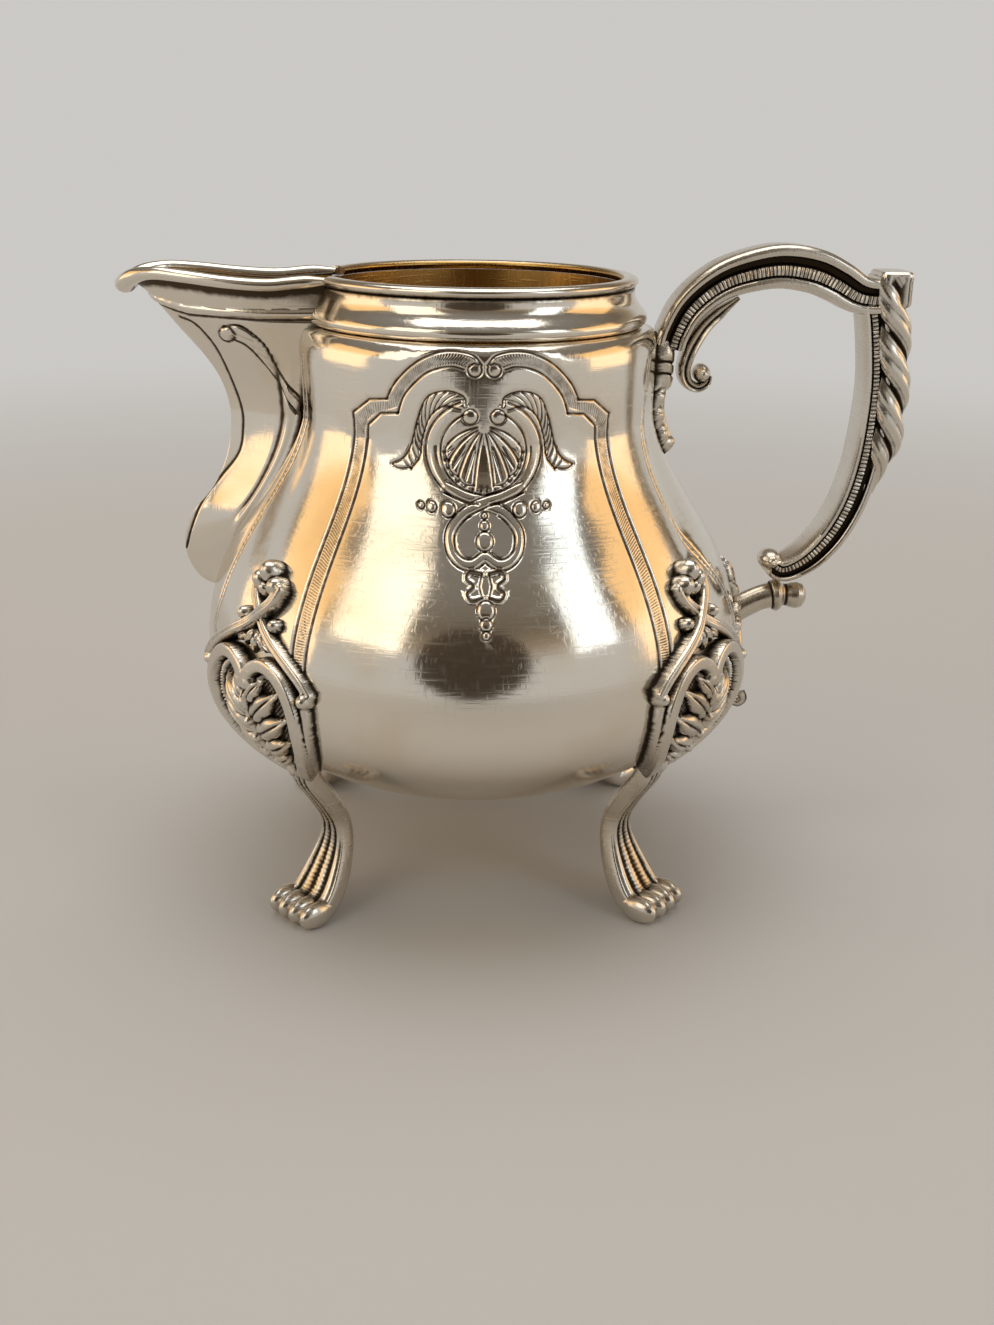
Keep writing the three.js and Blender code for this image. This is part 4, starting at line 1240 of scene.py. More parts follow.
    def _weld(self, sculpt: Sculpt, numbers: Array, size: int, at: Array) -> None:
        """Adds the faces of the cells of one size, with every point that lies on their edges.

        Args:
            sculpt: the mesh to add to.
            numbers: the points' numbers by finest column and row, -1 where there is none.
            size: how many finest steps the cells are wide.
            at: the cells' first corners.
        """
        width = numbers.shape[0]
        steps = np.arange(size)
        edge_u = np.concatenate([steps, np.full(size, size), size - steps, np.zeros(size, int)])
        edge_v = np.concatenate([np.zeros(size, int), steps, np.full(size, size), size - steps])
        rings = numbers[(at[:, :1] + edge_u) % width, at[:, 1:] + edge_v]
        for ring, row in zip(rings, at[:, 1]):
            face = [int(n) for n in ring if n >= 0]
            face = [n for k, n in enumerate(face) if n != face[k - 1]]
            sculpt.faces.append(face)
            sculpt.tones.append(Sculpt.OUTSIDE if row < self.outer_rows else Sculpt.LINING)

    def _throat(self, sculpt: Sculpt, numbers: Array) -> None:
        """Closes the wall's thickness round the way into the spout.

        Args:
            sculpt: the mesh to add to.
            numbers: the points' numbers by finest column and row, -1 where there is none.
        """
        low, high, outer_row, inner_row = (step * self.fine for step in self.throat)
        top, under = self.outer_rows, self.outer_rows + self.fine
        for column in (low, high):
            chains = numbers[column, outer_row:top + 1], numbers[column, inner_row:under - 1:-1]
            sculpt.seam(*(chain[chain >= 0] for chain in chains))
            edge = numbers[column, top:under + 1]
            edge = edge[edge >= 0]
            if len(edge) > 2:
                sculpt.cap(edge)
        chains = (numbers[low:high + 1, row] for row in (outer_row, inner_row))
        sculpt.seam(*(chain[chain >= 0] for chain in chains))


# Mouth and spout


@dataclass
class Mouth:
    """The turned collar on the shoulder and the round rim wire on it, both open to the spout."""

    shape: BodyShape
    bore: float = 23.0
    bead_radius: float = 27.3
    waist_radius: float = 25.2
    collar_height: float = 5.2
    wire_height: float = 2.4
    wire_half: float = 0.75
    wire_radius: float = 25.7
    collar_opening: float = 19.6
    wire_opening: float = 22.5
    segments: int = 220

    def _ring(self, outline: Array, opening: float, patina: Array) -> Sculpt:
        """A turned ring that is open to the spout.

        Args:
            outline: the closed (radius, height) outline.
            opening: degrees left open each way from the spout's middle.
            patina: painted shade, 0 for bright to 1 for dark, along the outline.

        Returns:
            The mesh, not yet a piece.
        """
        turn = np.radians(np.linspace(-180 + opening, 180 - opening, self.segments))[:, None]
        radius, z = outline.T
        rings = np.stack(np.broadcast_arrays(radius * np.cos(turn), radius * np.sin(turn), z), axis=-1)
        sculpt = Sculpt().tube(rings, patina)
        by_bore = radius < self.bore + 0.4
        lined = np.tile(by_bore & np.roll(by_bore, -1), self.segments - 1)
        for number in np.flatnonzero(lined):
            sculpt.tones[number] = Sculpt.LINING
        return sculpt

    def build(self, dressing: Dressing) -> None:
        """Makes the collar and the rim wire.

        Args:
            dressing: the materials.
        """
        low = self.shape.top_z
        top = low + self.collar_height
        brim = top + self.wire_height - 2 * self.wire_half
        bead = arc((self.bead_radius - 1.25, low + 1.3), (1.25, 1.2), -100, 40, 14)
        flare = bezier([bead[-1], (self.bead_radius - 0.9, low + 3.0), (self.waist_radius - 0.1, low + 3.6),
                        (self.waist_radius, brim - 0.35)], 16)
        neck = np.array([
            (self.waist_radius - 0.25, brim - 0.1), (self.bore + 0.3, brim),
            (self.bore, low + 0.3), (self.bore + 0.6, low),
        ])
        outline = np.vstack([bead, flare, neck])
        brow = len(bead) + len(flare)
        # Painted shade where the bead sits on the shoulder, and a painted shadow line just below the rim
        # wire.
        dark = np.zeros(len(outline))
        dark[:2] = (0.9, 0.45)
        dark[brow - 2:brow + 1] = (0.2, 0.5, 0.8)
        collar = self._ring(outline, self.collar_opening, dark)
        collar.piece("turned_collar", "neck_collar", Slot.POLISHED, dressing, crease=50.0)

        middle = (self.bore + self.wire_radius) / 2
        half = self.wire_radius - middle
        round_top = arc((middle, brim + self.wire_half), (half, self.wire_half), -18, 198, 22)
        flat = np.array([[middle - half * 0.8, brim + 0.05], [middle + half * 0.72, brim + 0.05]])
        outline = np.vstack([round_top, flat])
        # Painted shade along the wire's flat underside.
        dark = np.zeros(len(outline))
        dark[-1] = 0.6
        rim = self._ring(outline, self.wire_opening, dark)
        rim.piece("rim_wire_round", "rim_wire", Slot.POLISHED, dressing, crease=60.0)


@dataclass
class Spout:
    """The pouring spout: a keeled sheet wall with chased sides, and a rolled lip along its top."""

    shape: BodyShape
    mouth: Mouth
    reach: float = 56.0
    root_half: float = 8.8
    tail_z: float = 50.8
    tail_below: float = 1.4
    tail_stand: float = 9.0
    waist_stand: float = 10.4
    wall: float = 1.2
    lip_width: float = 2.0
    lip_half: float = 1.15
    lip_flat: float = 0.86
    lip_seat: float = 1.5
    bead_share: float = 0.16
    groove_share: float = 0.27
    rows: int = 230
    columns: int = 70

    @property
    def seat_z(self) -> float:
        """The height of the wall's top edge, where the lip sits."""
        return self.shape.top_z + self.mouth.collar_height + 0.7

    @property
    def root_x(self) -> float:
        """How far from the axis the wall's top edge starts."""
        return self.mouth.bore + 0.3

    def keel(self, z: Array) -> Array:
        """How far the keel lies from the axis at a height.

        Args:
            z: heights.

        Returns:
            The distances.
        """
        low, high = self.tail_z, self.shape.neck_z
        tail, waist = self.tail_stand, self.waist_stand
        stand = spline([
            (-0.6, low - self.tail_below), (tail * 0.28, low), (tail * 0.57, lerp(low, high, 0.09)),
            (tail * 0.81, lerp(low, high, 0.2)), (tail, lerp(low, high, 0.38)),
            (tail * 0.92, lerp(low, high, 0.58)), (waist, high - 2),
            (waist + 3, lerp(high, self.seat_z, 0.35)),
            (self.reach - self.lip_width - self.shape.neck_radius, self.seat_z),
        ], 160)
        wall = self.shape.radius(np.minimum(z, self.shape.shoulder_z))
        return wall + np.interp(z, stand[:, 1], stand[:, 0])

    def crest(self, x: Array) -> Array:
        """The height of the lip's top, which dips and then droops to a beak.

        Args:
            x: distances from the axis.

        Returns:
            The heights.
        """
        line = spline([(20.0, 101.4), (26.6, 101.3), (32.2, 100.8), (38.5, 101.1), (45.0, 101.8),
                       (49.7, 102.1), (53.0, 101.4), (55.2, 99.7), (57.2, 96.7)], 120)
        return np.interp(x, line[:, 0], line[:, 1])

    def half_width(self, z: Array) -> Array:
        """Half the spout's width where it meets the body.

        Args:
            z: heights.

        Returns:
            The half-widths.
        """
        knee = lerp(self.tail_z, self.shape.neck_z, 0.6)
        low = self.root_half * lerp(0.09, 0.75, smooth(z, self.tail_z, knee))
        return lerp(low, self.root_half, smooth(z, knee, self.seat_z))

    def side(self, z: Array, inset: float) -> Array:
        """One side of the wall, drawn in by an inset.

        Args:
            z: the rows' heights.
            inset: how far the side lies inside the outer one.

        Returns:
            The (distance, width) of each row's points from the root to the keel.
        """
        full = smooth(z, self.shape.neck_z, self.seat_z)
        half = self.half_width(z)
        inset_here = np.minimum(inset, 0.55 * half)
        half = half - inset_here
        keel = self.keel(z) - inset_here * lerp(2.2, 1.0, full)
        start = np.minimum(self.root_x, keel - 1)
        wall = np.maximum(start, self.shape.radius(np.minimum(z, self.shape.shoulder_z)) - 1)
        wall = np.minimum(keel - 0.5, wall)
        held = (
            (lerp(wall, start, full), half),
            (lerp(wall, keel, 0.3), half * lerp(0.75, 1.12, full)),
            (lerp(wall, keel, lerp(0.7, 0.99, full)), half * lerp(0.2, 0.9, full)),
            (keel, np.full(z.shape, 0.02)),
        )
        weights = bernstein(3, np.linspace(0.0, 1.0, self.columns)[None, :, None])
        return sum(weight * np.stack(pair, axis=-1)[:, None, :] for weight, pair in zip(weights, held))

    def _ornament(self, x: Array, z: Array) -> tuple[Array, Array]:
        """The chased scroll, mouldings and lines of one side.

        Args:
            x: distances from the axis.
            z: heights.

        Returns:
            The height and the patina at each point.
        """
        sheet = Relief(x, z)
        upper = spline([(39.6, 93.2), (37.6, 93.6), (35.8, 93.0), (33.1, 90.4), (31.0, 86.2),
                        (27.5, 81.8)], 30)
        lower = spline([(38.0, 91.2), (36.2, 90.4), (34.3, 88.5), (31.8, 85.3), (28.6, 79.8)], 30)
        scroll = spline([(38.6, 92.6), (37.2, 92.6), (35.2, 91.4), (33.2, 88.8), (31.3, 85.7),
                         (28.2, 81.0)], 30)
        sheet.wire(scroll, (1.0, 0.7), 0.35, flat=2.6)
        for edge in (upper, lower):
            sheet.cut(edge, 0.19, 0.24)
        for start, end in zip(upper[2:-1], lower[1:]):
            sheet.cut(np.array([lerp(start, end, 0.3), lerp(start, end, 0.75)]), 0.12, 0.1, 0.3)
        sheet.boss((39.0, 92.1), (1.15, 1.15), 0.6)
        sheet.cut(arc((39.0, 92.1), (1.25, 1.25), 0, 360, 20), 0.18, 0.15)
        sheet.wire(np.array([[22.0, 95.6], [34.0, 95.4], [45.0, 95.7], [53.0, 97.4]]), 0.55, 0.4)
        sheet.cut(np.array([[22.0, 94.7], [34.0, 94.5], [45.0, 94.9], [52.0, 96.6]]), 0.2, 0.2)
        by_keel = spline([(46.5, 94.4), (44.0, 93.4), (41.4, 90.0), (39.4, 84.5), (38.0, 79.7), (37.9, 76.5),
                          (38.8, 72.4), (42.2, 68.0), (45.4, 63.8), (47.3, 59.6), (48.4, 56.0)], 60)
        sheet.cut(by_keel, 0.22, 0.2)
        return sheet.height, sheet.patina

    def _chased(self, x: Array, z: Array, heights: Array) -> tuple[Array, Array]:
        """How far all of one side's ornament stands out, with its patina, a painted shadow under the lip and
        painted shade along the root.

        Args:
            x: the points' distances from the axis.
            z: the rows' heights before the top edge dips.
            heights: the points' own heights.

        Returns:
            The height, and the patina and painted shade, at each point.
        """
        relief, patina = self._ornament(x, heights)
        share = np.linspace(0.0, 1.0, self.columns)[None, :]
        rise = z[:, None]
        bead = bell(share - self.bead_share, 0.055) * smooth(rise, 56.0, 64.0)
        bead = bead * (1.0 - smooth(rise, 82.0, 91.0))
        groove = bell(share - self.groove_share, 0.03) * smooth(rise, 60.0, 66.0)
        groove = groove * (1.0 - smooth(rise, 84.0, 92.0))
        # Painted shadow in a band just under the lip, and painted shade along the root where the wall meets
        # the body; the groove's dark is patina.
        painted_lip_shadow = 1.0 - smooth(self.crest(x) - self.lip_seat - heights, 0.7, 2.4)
        for dark in (0.9 * painted_lip_shadow, 0.8 * groove, 0.7 * bell(share, 0.06)):
            patina = np.maximum(patina, dark)
        fade = 1.0 - smooth(share, 0.93, 1.0)
        return (relief + 0.45 * bead - 0.25 * groove) * fade, patina

    def build(self, dressing: Dressing) -> None:
        """Makes the wall and the lip.

        Args:
            dressing: the materials.
        """
        z = np.linspace(self.tail_z - self.tail_below, self.seat_z, self.rows)
        side = self.side(z, 0.0)
        lining = self.side(z, self.wall)
        heights = np.repeat(z[:, None], self.columns, axis=1)
        sag = self.seat_z - (self.crest(side[..., 0]) - self.lip_seat)
        heights = heights - smooth(heights, self.shape.shoulder_z, self.seat_z) * sag
        push, patina = self._chased(side[..., 0], z, heights)
        run_x, run_y = (np.gradient(side[..., k], axis=1) for k in (0, 1))
        size = np.maximum(np.hypot(run_x, run_y), SMALL)

        def sheet(x: Array, y: Array) -> Array:
            """Both sides of a wall from the near root over the keel to the far root.

            Args:
                x: distances from the axis.
                y: distances from the middle plane.

            Returns:
                The points, one row to a height.
            """
            near = np.stack([-x, -y, heights], axis=-1)
            far = np.stack([-x, y, heights], axis=-1)[:, ::-1]
            return np.concatenate([near[:, :-1], far], axis=1)

        sculpt = Sculpt()
        both = np.concatenate([patina[:, :-1], patina[:, ::-1]], axis=1)
        chased = sheet(side[..., 0] - run_y / size * push, side[..., 1] + run_x / size * push)
        outer = sculpt.add(chased, both)
        inner = sculpt.add(sheet(lining[..., 0], lining[..., 1]))
        sculpt.quads(outer)
        sculpt.quads(inner, tone=Sculpt.LINING)
        for edge in (0, -1):
            sculpt.quads(np.stack([outer[edge], inner[edge]]))
            sculpt.quads(np.stack([outer[:, edge], inner[:, edge]]))
        sculpt.piece("spout_sheet", "spout_wall", Slot.POLISHED, dressing, crease=50.0)
        self._lip(dressing)

    def _lip(self, dressing: Dressing) -> None:
        """Makes the rolled lip round the wall's top edge.

        Args:
            dressing: the materials.
        """
        middle = (self.mouth.bore + self.mouth.wire_radius) / 2
        tip = self.reach - self.lip_width / 2
        half = resample(bezier([
            (math.sqrt(middle ** 2 - self.root_half ** 2), self.root_half),
            (self.root_x + 8, self.root_half * 1.16), (tip - 0.2, self.root_half * 0.96), (tip, 0),
        ], 200), 120)
        line = np.vstack([half * (1, -1), half[-2::-1]])
        x = line[:, 0]
        section = np.vstack([arc((0.12, 0.0), (1.0, self.lip_flat), -150, 165, 26), [(-0.95, -0.1)]])
        # Painted shade along the underside of the roll.
        dark = np.zeros(len(section))
        dark[:4] = (0.6, 0.8, 0.7, 0.3)
        fuller = 1.0 + 0.4 * smooth(x, self.reach - 6, self.reach - 1)
        fuller = fuller * lerp(0.6, 1.0, smooth(x, x[0], x[0] + 4.0))
        size = (self.lip_half * fuller)[:, None]
        place = line[:, None, :] - left_of(line)[:, None, :] * (section[:, 0] * size)[..., None]
        level = (self.crest(x) - self.lip_half * self.lip_flat)[:, None] + section[:, 1] * size
        rings = np.stack([-place[..., 0], place[..., 1], level], axis=-1)
        sculpt = Sculpt().tube(rings, dark)
        sculpt.piece("rolled_lip", "spout_lip", Slot.POLISHED, dressing, crease=60.0)


# Handle


@dataclass
class Handle:
    """The cast double-scroll handle with its leaf, its inner curl, and its seats on the body."""

    shape: BodyShape
    thickness: float = 7.2
    mill_pitch: float = 0.65
    step: float = 0.17
    curl_ball: float = 1.5
    branch_radius: float = 2.2
    plate_top_z: float = 90.2
    plate_foot_z: float = 72.6
    escutcheon_z: Pair = (38.2, 54.2)
    leaf_lobes: float = 4.2
    leaf_half: Pair = (3.75, 4.3)
    block_middle: float = 67.2
    block_half: Pair = (2.7, 3.95)
    block_flutes: int = 20
    tail_angle: float = 12.0
    ground: float = -0.3

    def build(self, dressing: Dressing) -> None:
        """Makes every piece of the handle.

        Args:
            dressing: the materials.
        """
        pieces = (
            ("upper_scroll", "handle_upper_scroll", self._upper, 38.0),
            ("lower_scroll", "handle_lower_scroll", self._lower, 38.0),
            ("inner_curl", "handle_inner_scroll", self._inner, 42.0),
            ("back_leaf", "handle_back_leaf", self._leaf, 34.0),
            ("turned_branch", "handle_branch", self._branch, 42.0),
            ("neck_plate", "handle_drop_plate", self._plate, 50.0),
            ("belly_plate", "handle_escutcheon", self._escutcheon, 50.0),
        )
        for name, node, sculpted, crease in pieces:
            sculpted().piece(name, node, Slot.CAST, dressing, crease)

    def _rail(self) -> tuple[Array, Array, Array]:
        """One side of the scroll's section from the outer to the inner edge.

        Returns:
            Shares of the depth, distances from the middle plane, and the patina.
        """
        outline = np.array([
            (0.5, 0.0, 0), (0.5, 0.55, 0), (0.485, 0.8, 0), (0.44, 0.95, 0), (0.38, 1.0, 0), (0.3, 0.99, 0),
            (0.255, 0.94, 0.1), (0.24, 0.8, 0.8), (0.22, 0.69, 1), (0.1, 0.67, 1), (0.06, 0.74, 1),
            (0.04, 0.86, 0.5), (0.02, 0.9, 0.1), (-0.08, 0.915, 0.05), (-0.18, 0.9, 0.1),
            (-0.195, 0.85, 0.5), (-0.21, 0.79, 1), (-0.228, 0.8, 0.9), (-0.245, 0.91, 0.2),
            (-0.29, 0.97, 0), (-0.37, 0.985, 0), (-0.44, 0.93, 0), (-0.485, 0.75, 0), (-0.5, 0.4, 0),
            (-0.5, 0.0, 0),
        ])
        return outline[:, 0], outline[:, 1] * (self.thickness / 2), outline[:, 2]

    def _scroll(self, points: Line, depths: Sequence[float], ends: Pair) -> Sculpt:
        """A grooved scroll with a milled bead along each side.

        Args:
            points: the middle line in the handle's plane.
            depths: the scroll's depth at each of those points.
            ends: how far the last stretch at each end rounds off.

        Returns:
            The scroll, not yet a piece.
        """
        rough = spline(points, 400)
        length = length_of(rough)
        count = int(length / self.step)
        line = resample(rough, count)
        spots = [int(np.argmin(np.hypot(*(line - point).T))) for point in np.asarray(points, float)]
        depth = np.interp(np.arange(count), spots, depths)
        window = 81
        padded = np.pad(depth, window // 2, mode="edge")
        depth = np.convolve(padded, np.full(window, 1 / window), mode="valid")
        along = np.arange(count) * length / (count - 1)
        close = np.ones(count)
        for gap, reach in ((along, ends[0]), (length - along, ends[1])):
            rounded = 1 - (1 - np.clip(gap / max(reach, SMALL), 0, 1)) ** 2
            close = close * np.sqrt(np.clip(rounded, 0.02, 1.0))
        share, wide, dark = self._rail()
        on_bead = (share < 0.045) & (share > -0.2)
        notch = ((1 - ripple(along, self.mill_pitch)) ** 2)[:, None]
        y = wide * np.where(on_bead, 1 - 0.06 * notch, 1.0) * lerp(0.9, 1.0, close)[:, None]
        patina = np.where(on_bead, np.maximum(dark, 0.8 * notch), dark)
        front = swept(line, share * (depth * close)[:, None], -y)
        back = (front * (1, -1, 1))[:, -2:0:-1]
        both = np.concatenate([patina, patina[:, -2:0:-1]], axis=1)
        return Sculpt().tube(np.concatenate([front, back], axis=1), both)

    def _upper(self) -> Sculpt:
        """The upper scroll from the neck plate over the crown to the shoulder.

        Returns:
            The mesh, not yet a piece.
        """
        points = [(31.2, 89.8), (31.9, 92.3), (33.7, 95.8), (36.6, 98.7), (40.3, 100.9), (45.2, 102.3),
                  (49.2, 102.7), (54.0, 102.0), (57.9, 100.4), (61.2, 98.6), (64.0, 98.1), (66.2, 98.4)]
        depths = [4.7, 5.2, 5.3, 5.5, 6.2, 6.8, 6.9, 7.2, 7.1, 6.1, 5.4, 5.0]
        return self._scroll(points, depths, (0.0, 0.6))

    def _lower(self) -> Sculpt:
        """The lower scroll from the shoulder to its rolled foot.

        Returns:
            The mesh, not yet a piece.
        """
        points = [(64.0, 97.2), (64.9, 92.5), (65.8, 85.0), (65.8, 78.0), (65.2, 71.0), (63.7, 64.6),
                  (61.2, 59.2), (58.0, 55.2), (54.9, 53.0), (52.6, 52.4), (50.9, 53.3)]
        depths = [4.4, 4.4, 4.4, 4.7, 5.2, 5.1, 5.0, 4.8, 4.3, 3.7, 2.9]
        sculpt = self._scroll(points, depths, (0.0, 0.8))
        foot = (51.1, 0, 53.8)
        roll = np.array([[2.0, 0, 0.35], [0, self.thickness * 0.47, 0], [-0.3, 0, 1.75]])
        sculpt.dome(foot, roll, count=28)
        sculpt.dome(foot, np.diag([0.95, self.thickness * 0.53, 0.95]))
        return sculpt

    def _inner(self) -> Sculpt:
        """The small curl inside the upper scroll, with its ball.

        Returns:
            The mesh, not yet a piece.
        """
        line = spline([(42.4, 97.6), (39.6, 95.6), (37.2, 93.4), (35.6, 91.0), (34.5, 88.6), (34.0, 86.2),
                       (34.6, 84.2), (36.3, 83.3), (37.8, 84.0), (38.2, 85.3)], 120)
        share = np.linspace(0.0, 1.0, len(line))
        deep = np.interp(share, [0, 0.18, 0.45, 0.75, 1], [0.35, 1.0, 1.2, 1.0, 0.55])[:, None]
        wide = np.interp(share, [0, 0.2, 0.6, 1], [0.8, 2.8, 3.1, 2.2])[:, None]
        turn = around(28)
        flute = 1 - 0.22 * bell(np.cos(turn), 0.25)
        away = deep * squared(np.cos(turn), 0.8)
        rings = swept(line, away, wide * (squared(np.sin(turn), 0.6) * flute))
        sculpt = Sculpt().tube(rings, 0.75 * bell(np.cos(turn), 0.22))
        ball = np.diag([self.curl_ball, self.thickness * 0.44, self.curl_ball])
        sculpt.dome((37.0, 0, 85.6), ball, count=28)
        return sculpt

    def _leaf(self) -> Sculpt:
        """The slanting acanthus lobes down the handle's back, under a square thumb block.

        Returns:
            The mesh, not yet a piece.
        """
        line = spline([(66.2, 101.4), (66.5, 96.8), (67.1, 92.5), (67.9, 85.0), (67.9, 78.0), (67.4, 71.5),
                       (66.0, 66.2)], 320)
        share = np.linspace(0.0, 1.0, len(line))[:, None]
        turn = np.radians(np.linspace(-128, 128, 91))[None, :]
        slant = 1.0 - np.abs(turn) / turn.max()
        phase = (share * self.leaf_lobes - 1.05 * slant + 0.2) % 1.0
        lobe = np.sin(np.pi * phase) ** 0.55
        ribs = np.cos(6 * np.pi * phase)
        taper = 1.0 - 0.62 * smooth(share, 0.72, 1.0)
        reach = (0.62 + 0.38 * lobe + 0.03 * ribs * lobe) * taper
        narrow = 1.0 - 0.3 * smooth(share, 0.78, 1.0)
        deep, wide = self.leaf_half
        y = wide * narrow * np.sqrt(reach / taper) * squared(np.sin(turn), 0.8)
        dark = np.maximum(1.0 - smooth(lobe, 0.25, 0.72), 0.4 * smooth(-ribs, 0.5, 1.0))
        sculpt = Sculpt().tube(swept(line, 0.2 + deep * reach * np.cos(turn), y), dark)
        self._thumb_block(sculpt)
        return sculpt

    def _thumb_block(self, sculpt: Sculpt) -> None:
        """Adds the fluted square block that heads the leaf.

        Args:
            sculpt: the mesh to add to.
        """
        levels = [(96.6, 0.9), (97.1, 1.0), (100.6, 0.98), (101.3, 1.0), (101.8, 0.97), (102.1, 0.87)]
        turn = around(144)
        flute = (0.5 + 0.5 * np.cos(self.block_flutes * turn)) ** 3
        deep, wide = self.block_half
        rings = []
        for z, size in levels:
            carved = size * (1.0 - 0.1 * flute * (1.0 - smooth(z, 100.6, 101.4)))
            x = self.block_middle + deep * carved * squared(np.cos(turn), 0.3)
            y = wide * carved * squared(np.sin(turn), 0.3)
            rings.append(np.stack([x, y, np.full(len(turn), z)], axis=-1))
        dark = np.array([0.9, 0.8, 0.8, 0.5, 0.1, 0.1])[:, None] * (0.15 + 0.85 * flute)
        sculpt.tube(np.stack(rings), dark)

    def _branch(self) -> Sculpt:
        """The turned branch out of the belly, with a ring and an end knob under the scroll.

        Returns:
            The mesh, not yet a piece.
        """
        root = float(self.shape.radius(46.7))
        line = spline([(root - 3.0, 42.1), (root + 2.6, 45.4), (root + 5.9, 46.9), (root + 8.8, 47.3),
                       (root + 13.4, 47.1)], 140)
        share = np.linspace(0.0, 1.0, len(line))[:, None]
        stops = [0, 0.3, 0.5, 0.6, 0.64, 0.66, 0.7, 0.73, 0.76, 0.79, 0.84, 0.9, 0.95, 0.985, 1.0]
        radii = [1.15, 1.02, 0.98, 1.0, 1.0, 1.2, 1.3, 1.2, 0.92, 0.84, 0.98, 1.06, 0.96, 0.62, 0.15]
        radius = self.branch_radius * np.interp(share, stops, radii)
        turn = around(36)
        rings = swept(line, radius * np.cos(turn), radius * np.sin(turn))
        # Patina in the two turned grooves, and painted shade at the root where the branch goes into the
        # belly.
        dark = bell(share - 0.645, 0.012) + bell(share - 0.785, 0.02)
        return Sculpt().tube(rings, 0.8 * np.maximum(dark, 1 - smooth(share, 0.1, 0.3)))

    def _plate(self) -> Sculpt:
        """The leafy drop plate on the neck under the upper scroll.

        Returns:
            The mesh, not yet a piece.
        """
        across, z = np.meshgrid(np.arange(-4.8, 4.81, 0.15), np.arange(70.0, 93.0, 0.15))
        sheet = Relief(np.abs(across), z, self.ground)
        top, foot = self.plate_top_z, self.plate_foot_z
        sheet.wire(np.array([[0.0, top - 1.6], [0.0, top - 5.2]]), (3.5, 2.6), 3.3, flat=3.4)
        for k in range(4):
            low = lerp(top - 5.5, foot + 2.2, k / 3)
            sheet.leaf((0.2, low + 2.6), (2.9 - 0.42 * k, low - 1.6), 1.3, 2.0 - 0.14 * k, 0.45)
        sheet.wire(np.array([[0.0, top - 6.0], [0.0, foot + 0.4]]), (1.15, 0.6), 2.3)
        sheet.boss((0.0, foot + 0.9), (1.35, 1.4), 2.6)
        for level in (top - 2.6, top - 4.4):
            sheet.cut(np.array([[0.0, level - 0.9], [3.6, level + 0.4]]), 0.22, 0.4)
        return self._seat(sheet, across, z)

    def _escutcheon(self) -> Sculpt:
        """The leafy plate on the belly round the branch's root, with a hooked tail on each side.

        Returns:
            The mesh, not yet a piece.
        """
        across, z = np.meshgrid(np.arange(-7.0, 7.01, 0.16), np.arange(36.0, 56.0, 0.16))
        sheet = Relief(np.abs(across), z, self.ground)
        low, high = self.escutcheon_z
        middle = lerp(low, high, 0.5)
        sheet.boss((0.0, middle - 0.6), (4.0, 4.6), 1.4)
        for degrees in (78, 40, 2, -34, -72):
            turn = math.radians(degrees)
            root = (2.0 * math.cos(turn), middle - 0.6 + 2.4 * math.sin(turn))
            tip = (6.0 * math.cos(turn), middle - 0.4 + 8.0 * math.sin(turn))
            sheet.leaf(root, tip, 1.5, 1.3, 0.25)
        for root_z, tip_z in ((middle + 3.0, high), (middle - 4.0, low)):
            sheet.leaf((0.0, root_z), (0.0, tip_z), 1.5, 1.4, 0.3)
        sheet.cut(arc((0.0, middle - 0.6), (3.2, 3.8), -90, 90, 24), 0.25, 0.35)
        sculpt = self._seat(sheet, across, z)
        for angle in (self.tail_angle, -self.tail_angle):
            self._tail(sculpt, angle)
        return sculpt

    def _tail(self, sculpt: Sculpt, angle: float) -> None:
        """Adds a scroll tail that runs down the belly beside the plate and ends in a small hook.

        Args:
            sculpt: the mesh to add to.
            angle: how far round from the handle's plane it ends, in degrees.
        """
        line = spline([(45.2, 44.0), (45.4, 39.5), (45.0, 35.8), (44.6, 33.2), (45.0, 31.6), (46.1, 31.0),
                       (46.9, 31.8), (46.5, 32.9)], 70)
        share = np.linspace(0.0, 1.0, len(line))[:, None]
        radius = lerp(1.2, 0.75, smooth(share, 0.2, 0.8))
        turn = around(20)
        sweep = np.radians(angle * lerp(0.2, 1.0, smooth(share, 0.0, 0.65)))
        rings = turned(swept(line, radius * np.cos(turn), radius * np.sin(turn)), sweep)
        # A slight darkening all round, and painted shade on the side that faces the body.
        sculpt.tube(rings, 0.2 + 0.5 * smooth(-np.cos(turn), 0.3, 1.0))

    def _seat(self, sheet: Relief, across: Array, z: Array) -> Sculpt:
        """A relief stood on the body's handle side.

        Args:
            sheet: the relief.
            across: the points' sideways distances.
            z: heights.

        Returns:
            The mesh, not yet a piece.
        """
        points, normals = self.shape.wall_at(across, z, 0.0)
        hollow = np.clip((blurred(sheet.height, 6) - sheet.height) / 0.9 + 0.1, 0, 1)
        return Sculpt().relief(points, normals, sheet.height, np.maximum(hollow, sheet.patina))


# Legs


class Corner(Enum):
    """The four legs, each with the signs of its X and Y places."""

    FRONT_HANDLE = (1, -1)
    BACK_HANDLE = (1, 1)
    BACK_SPOUT = (-1, 1)
    FRONT_SPOUT = (-1, -1)

    def angle(self, from_side: float) -> float:
        """The corner's angle about the axis.

        Args:
            from_side: degrees from the spout or handle side.

        Returns:
            The angle in radians.
        """
        side, depth = self.value
        turn = math.radians(from_side)
        return math.atan2(depth * math.sin(turn), side * math.cos(turn))


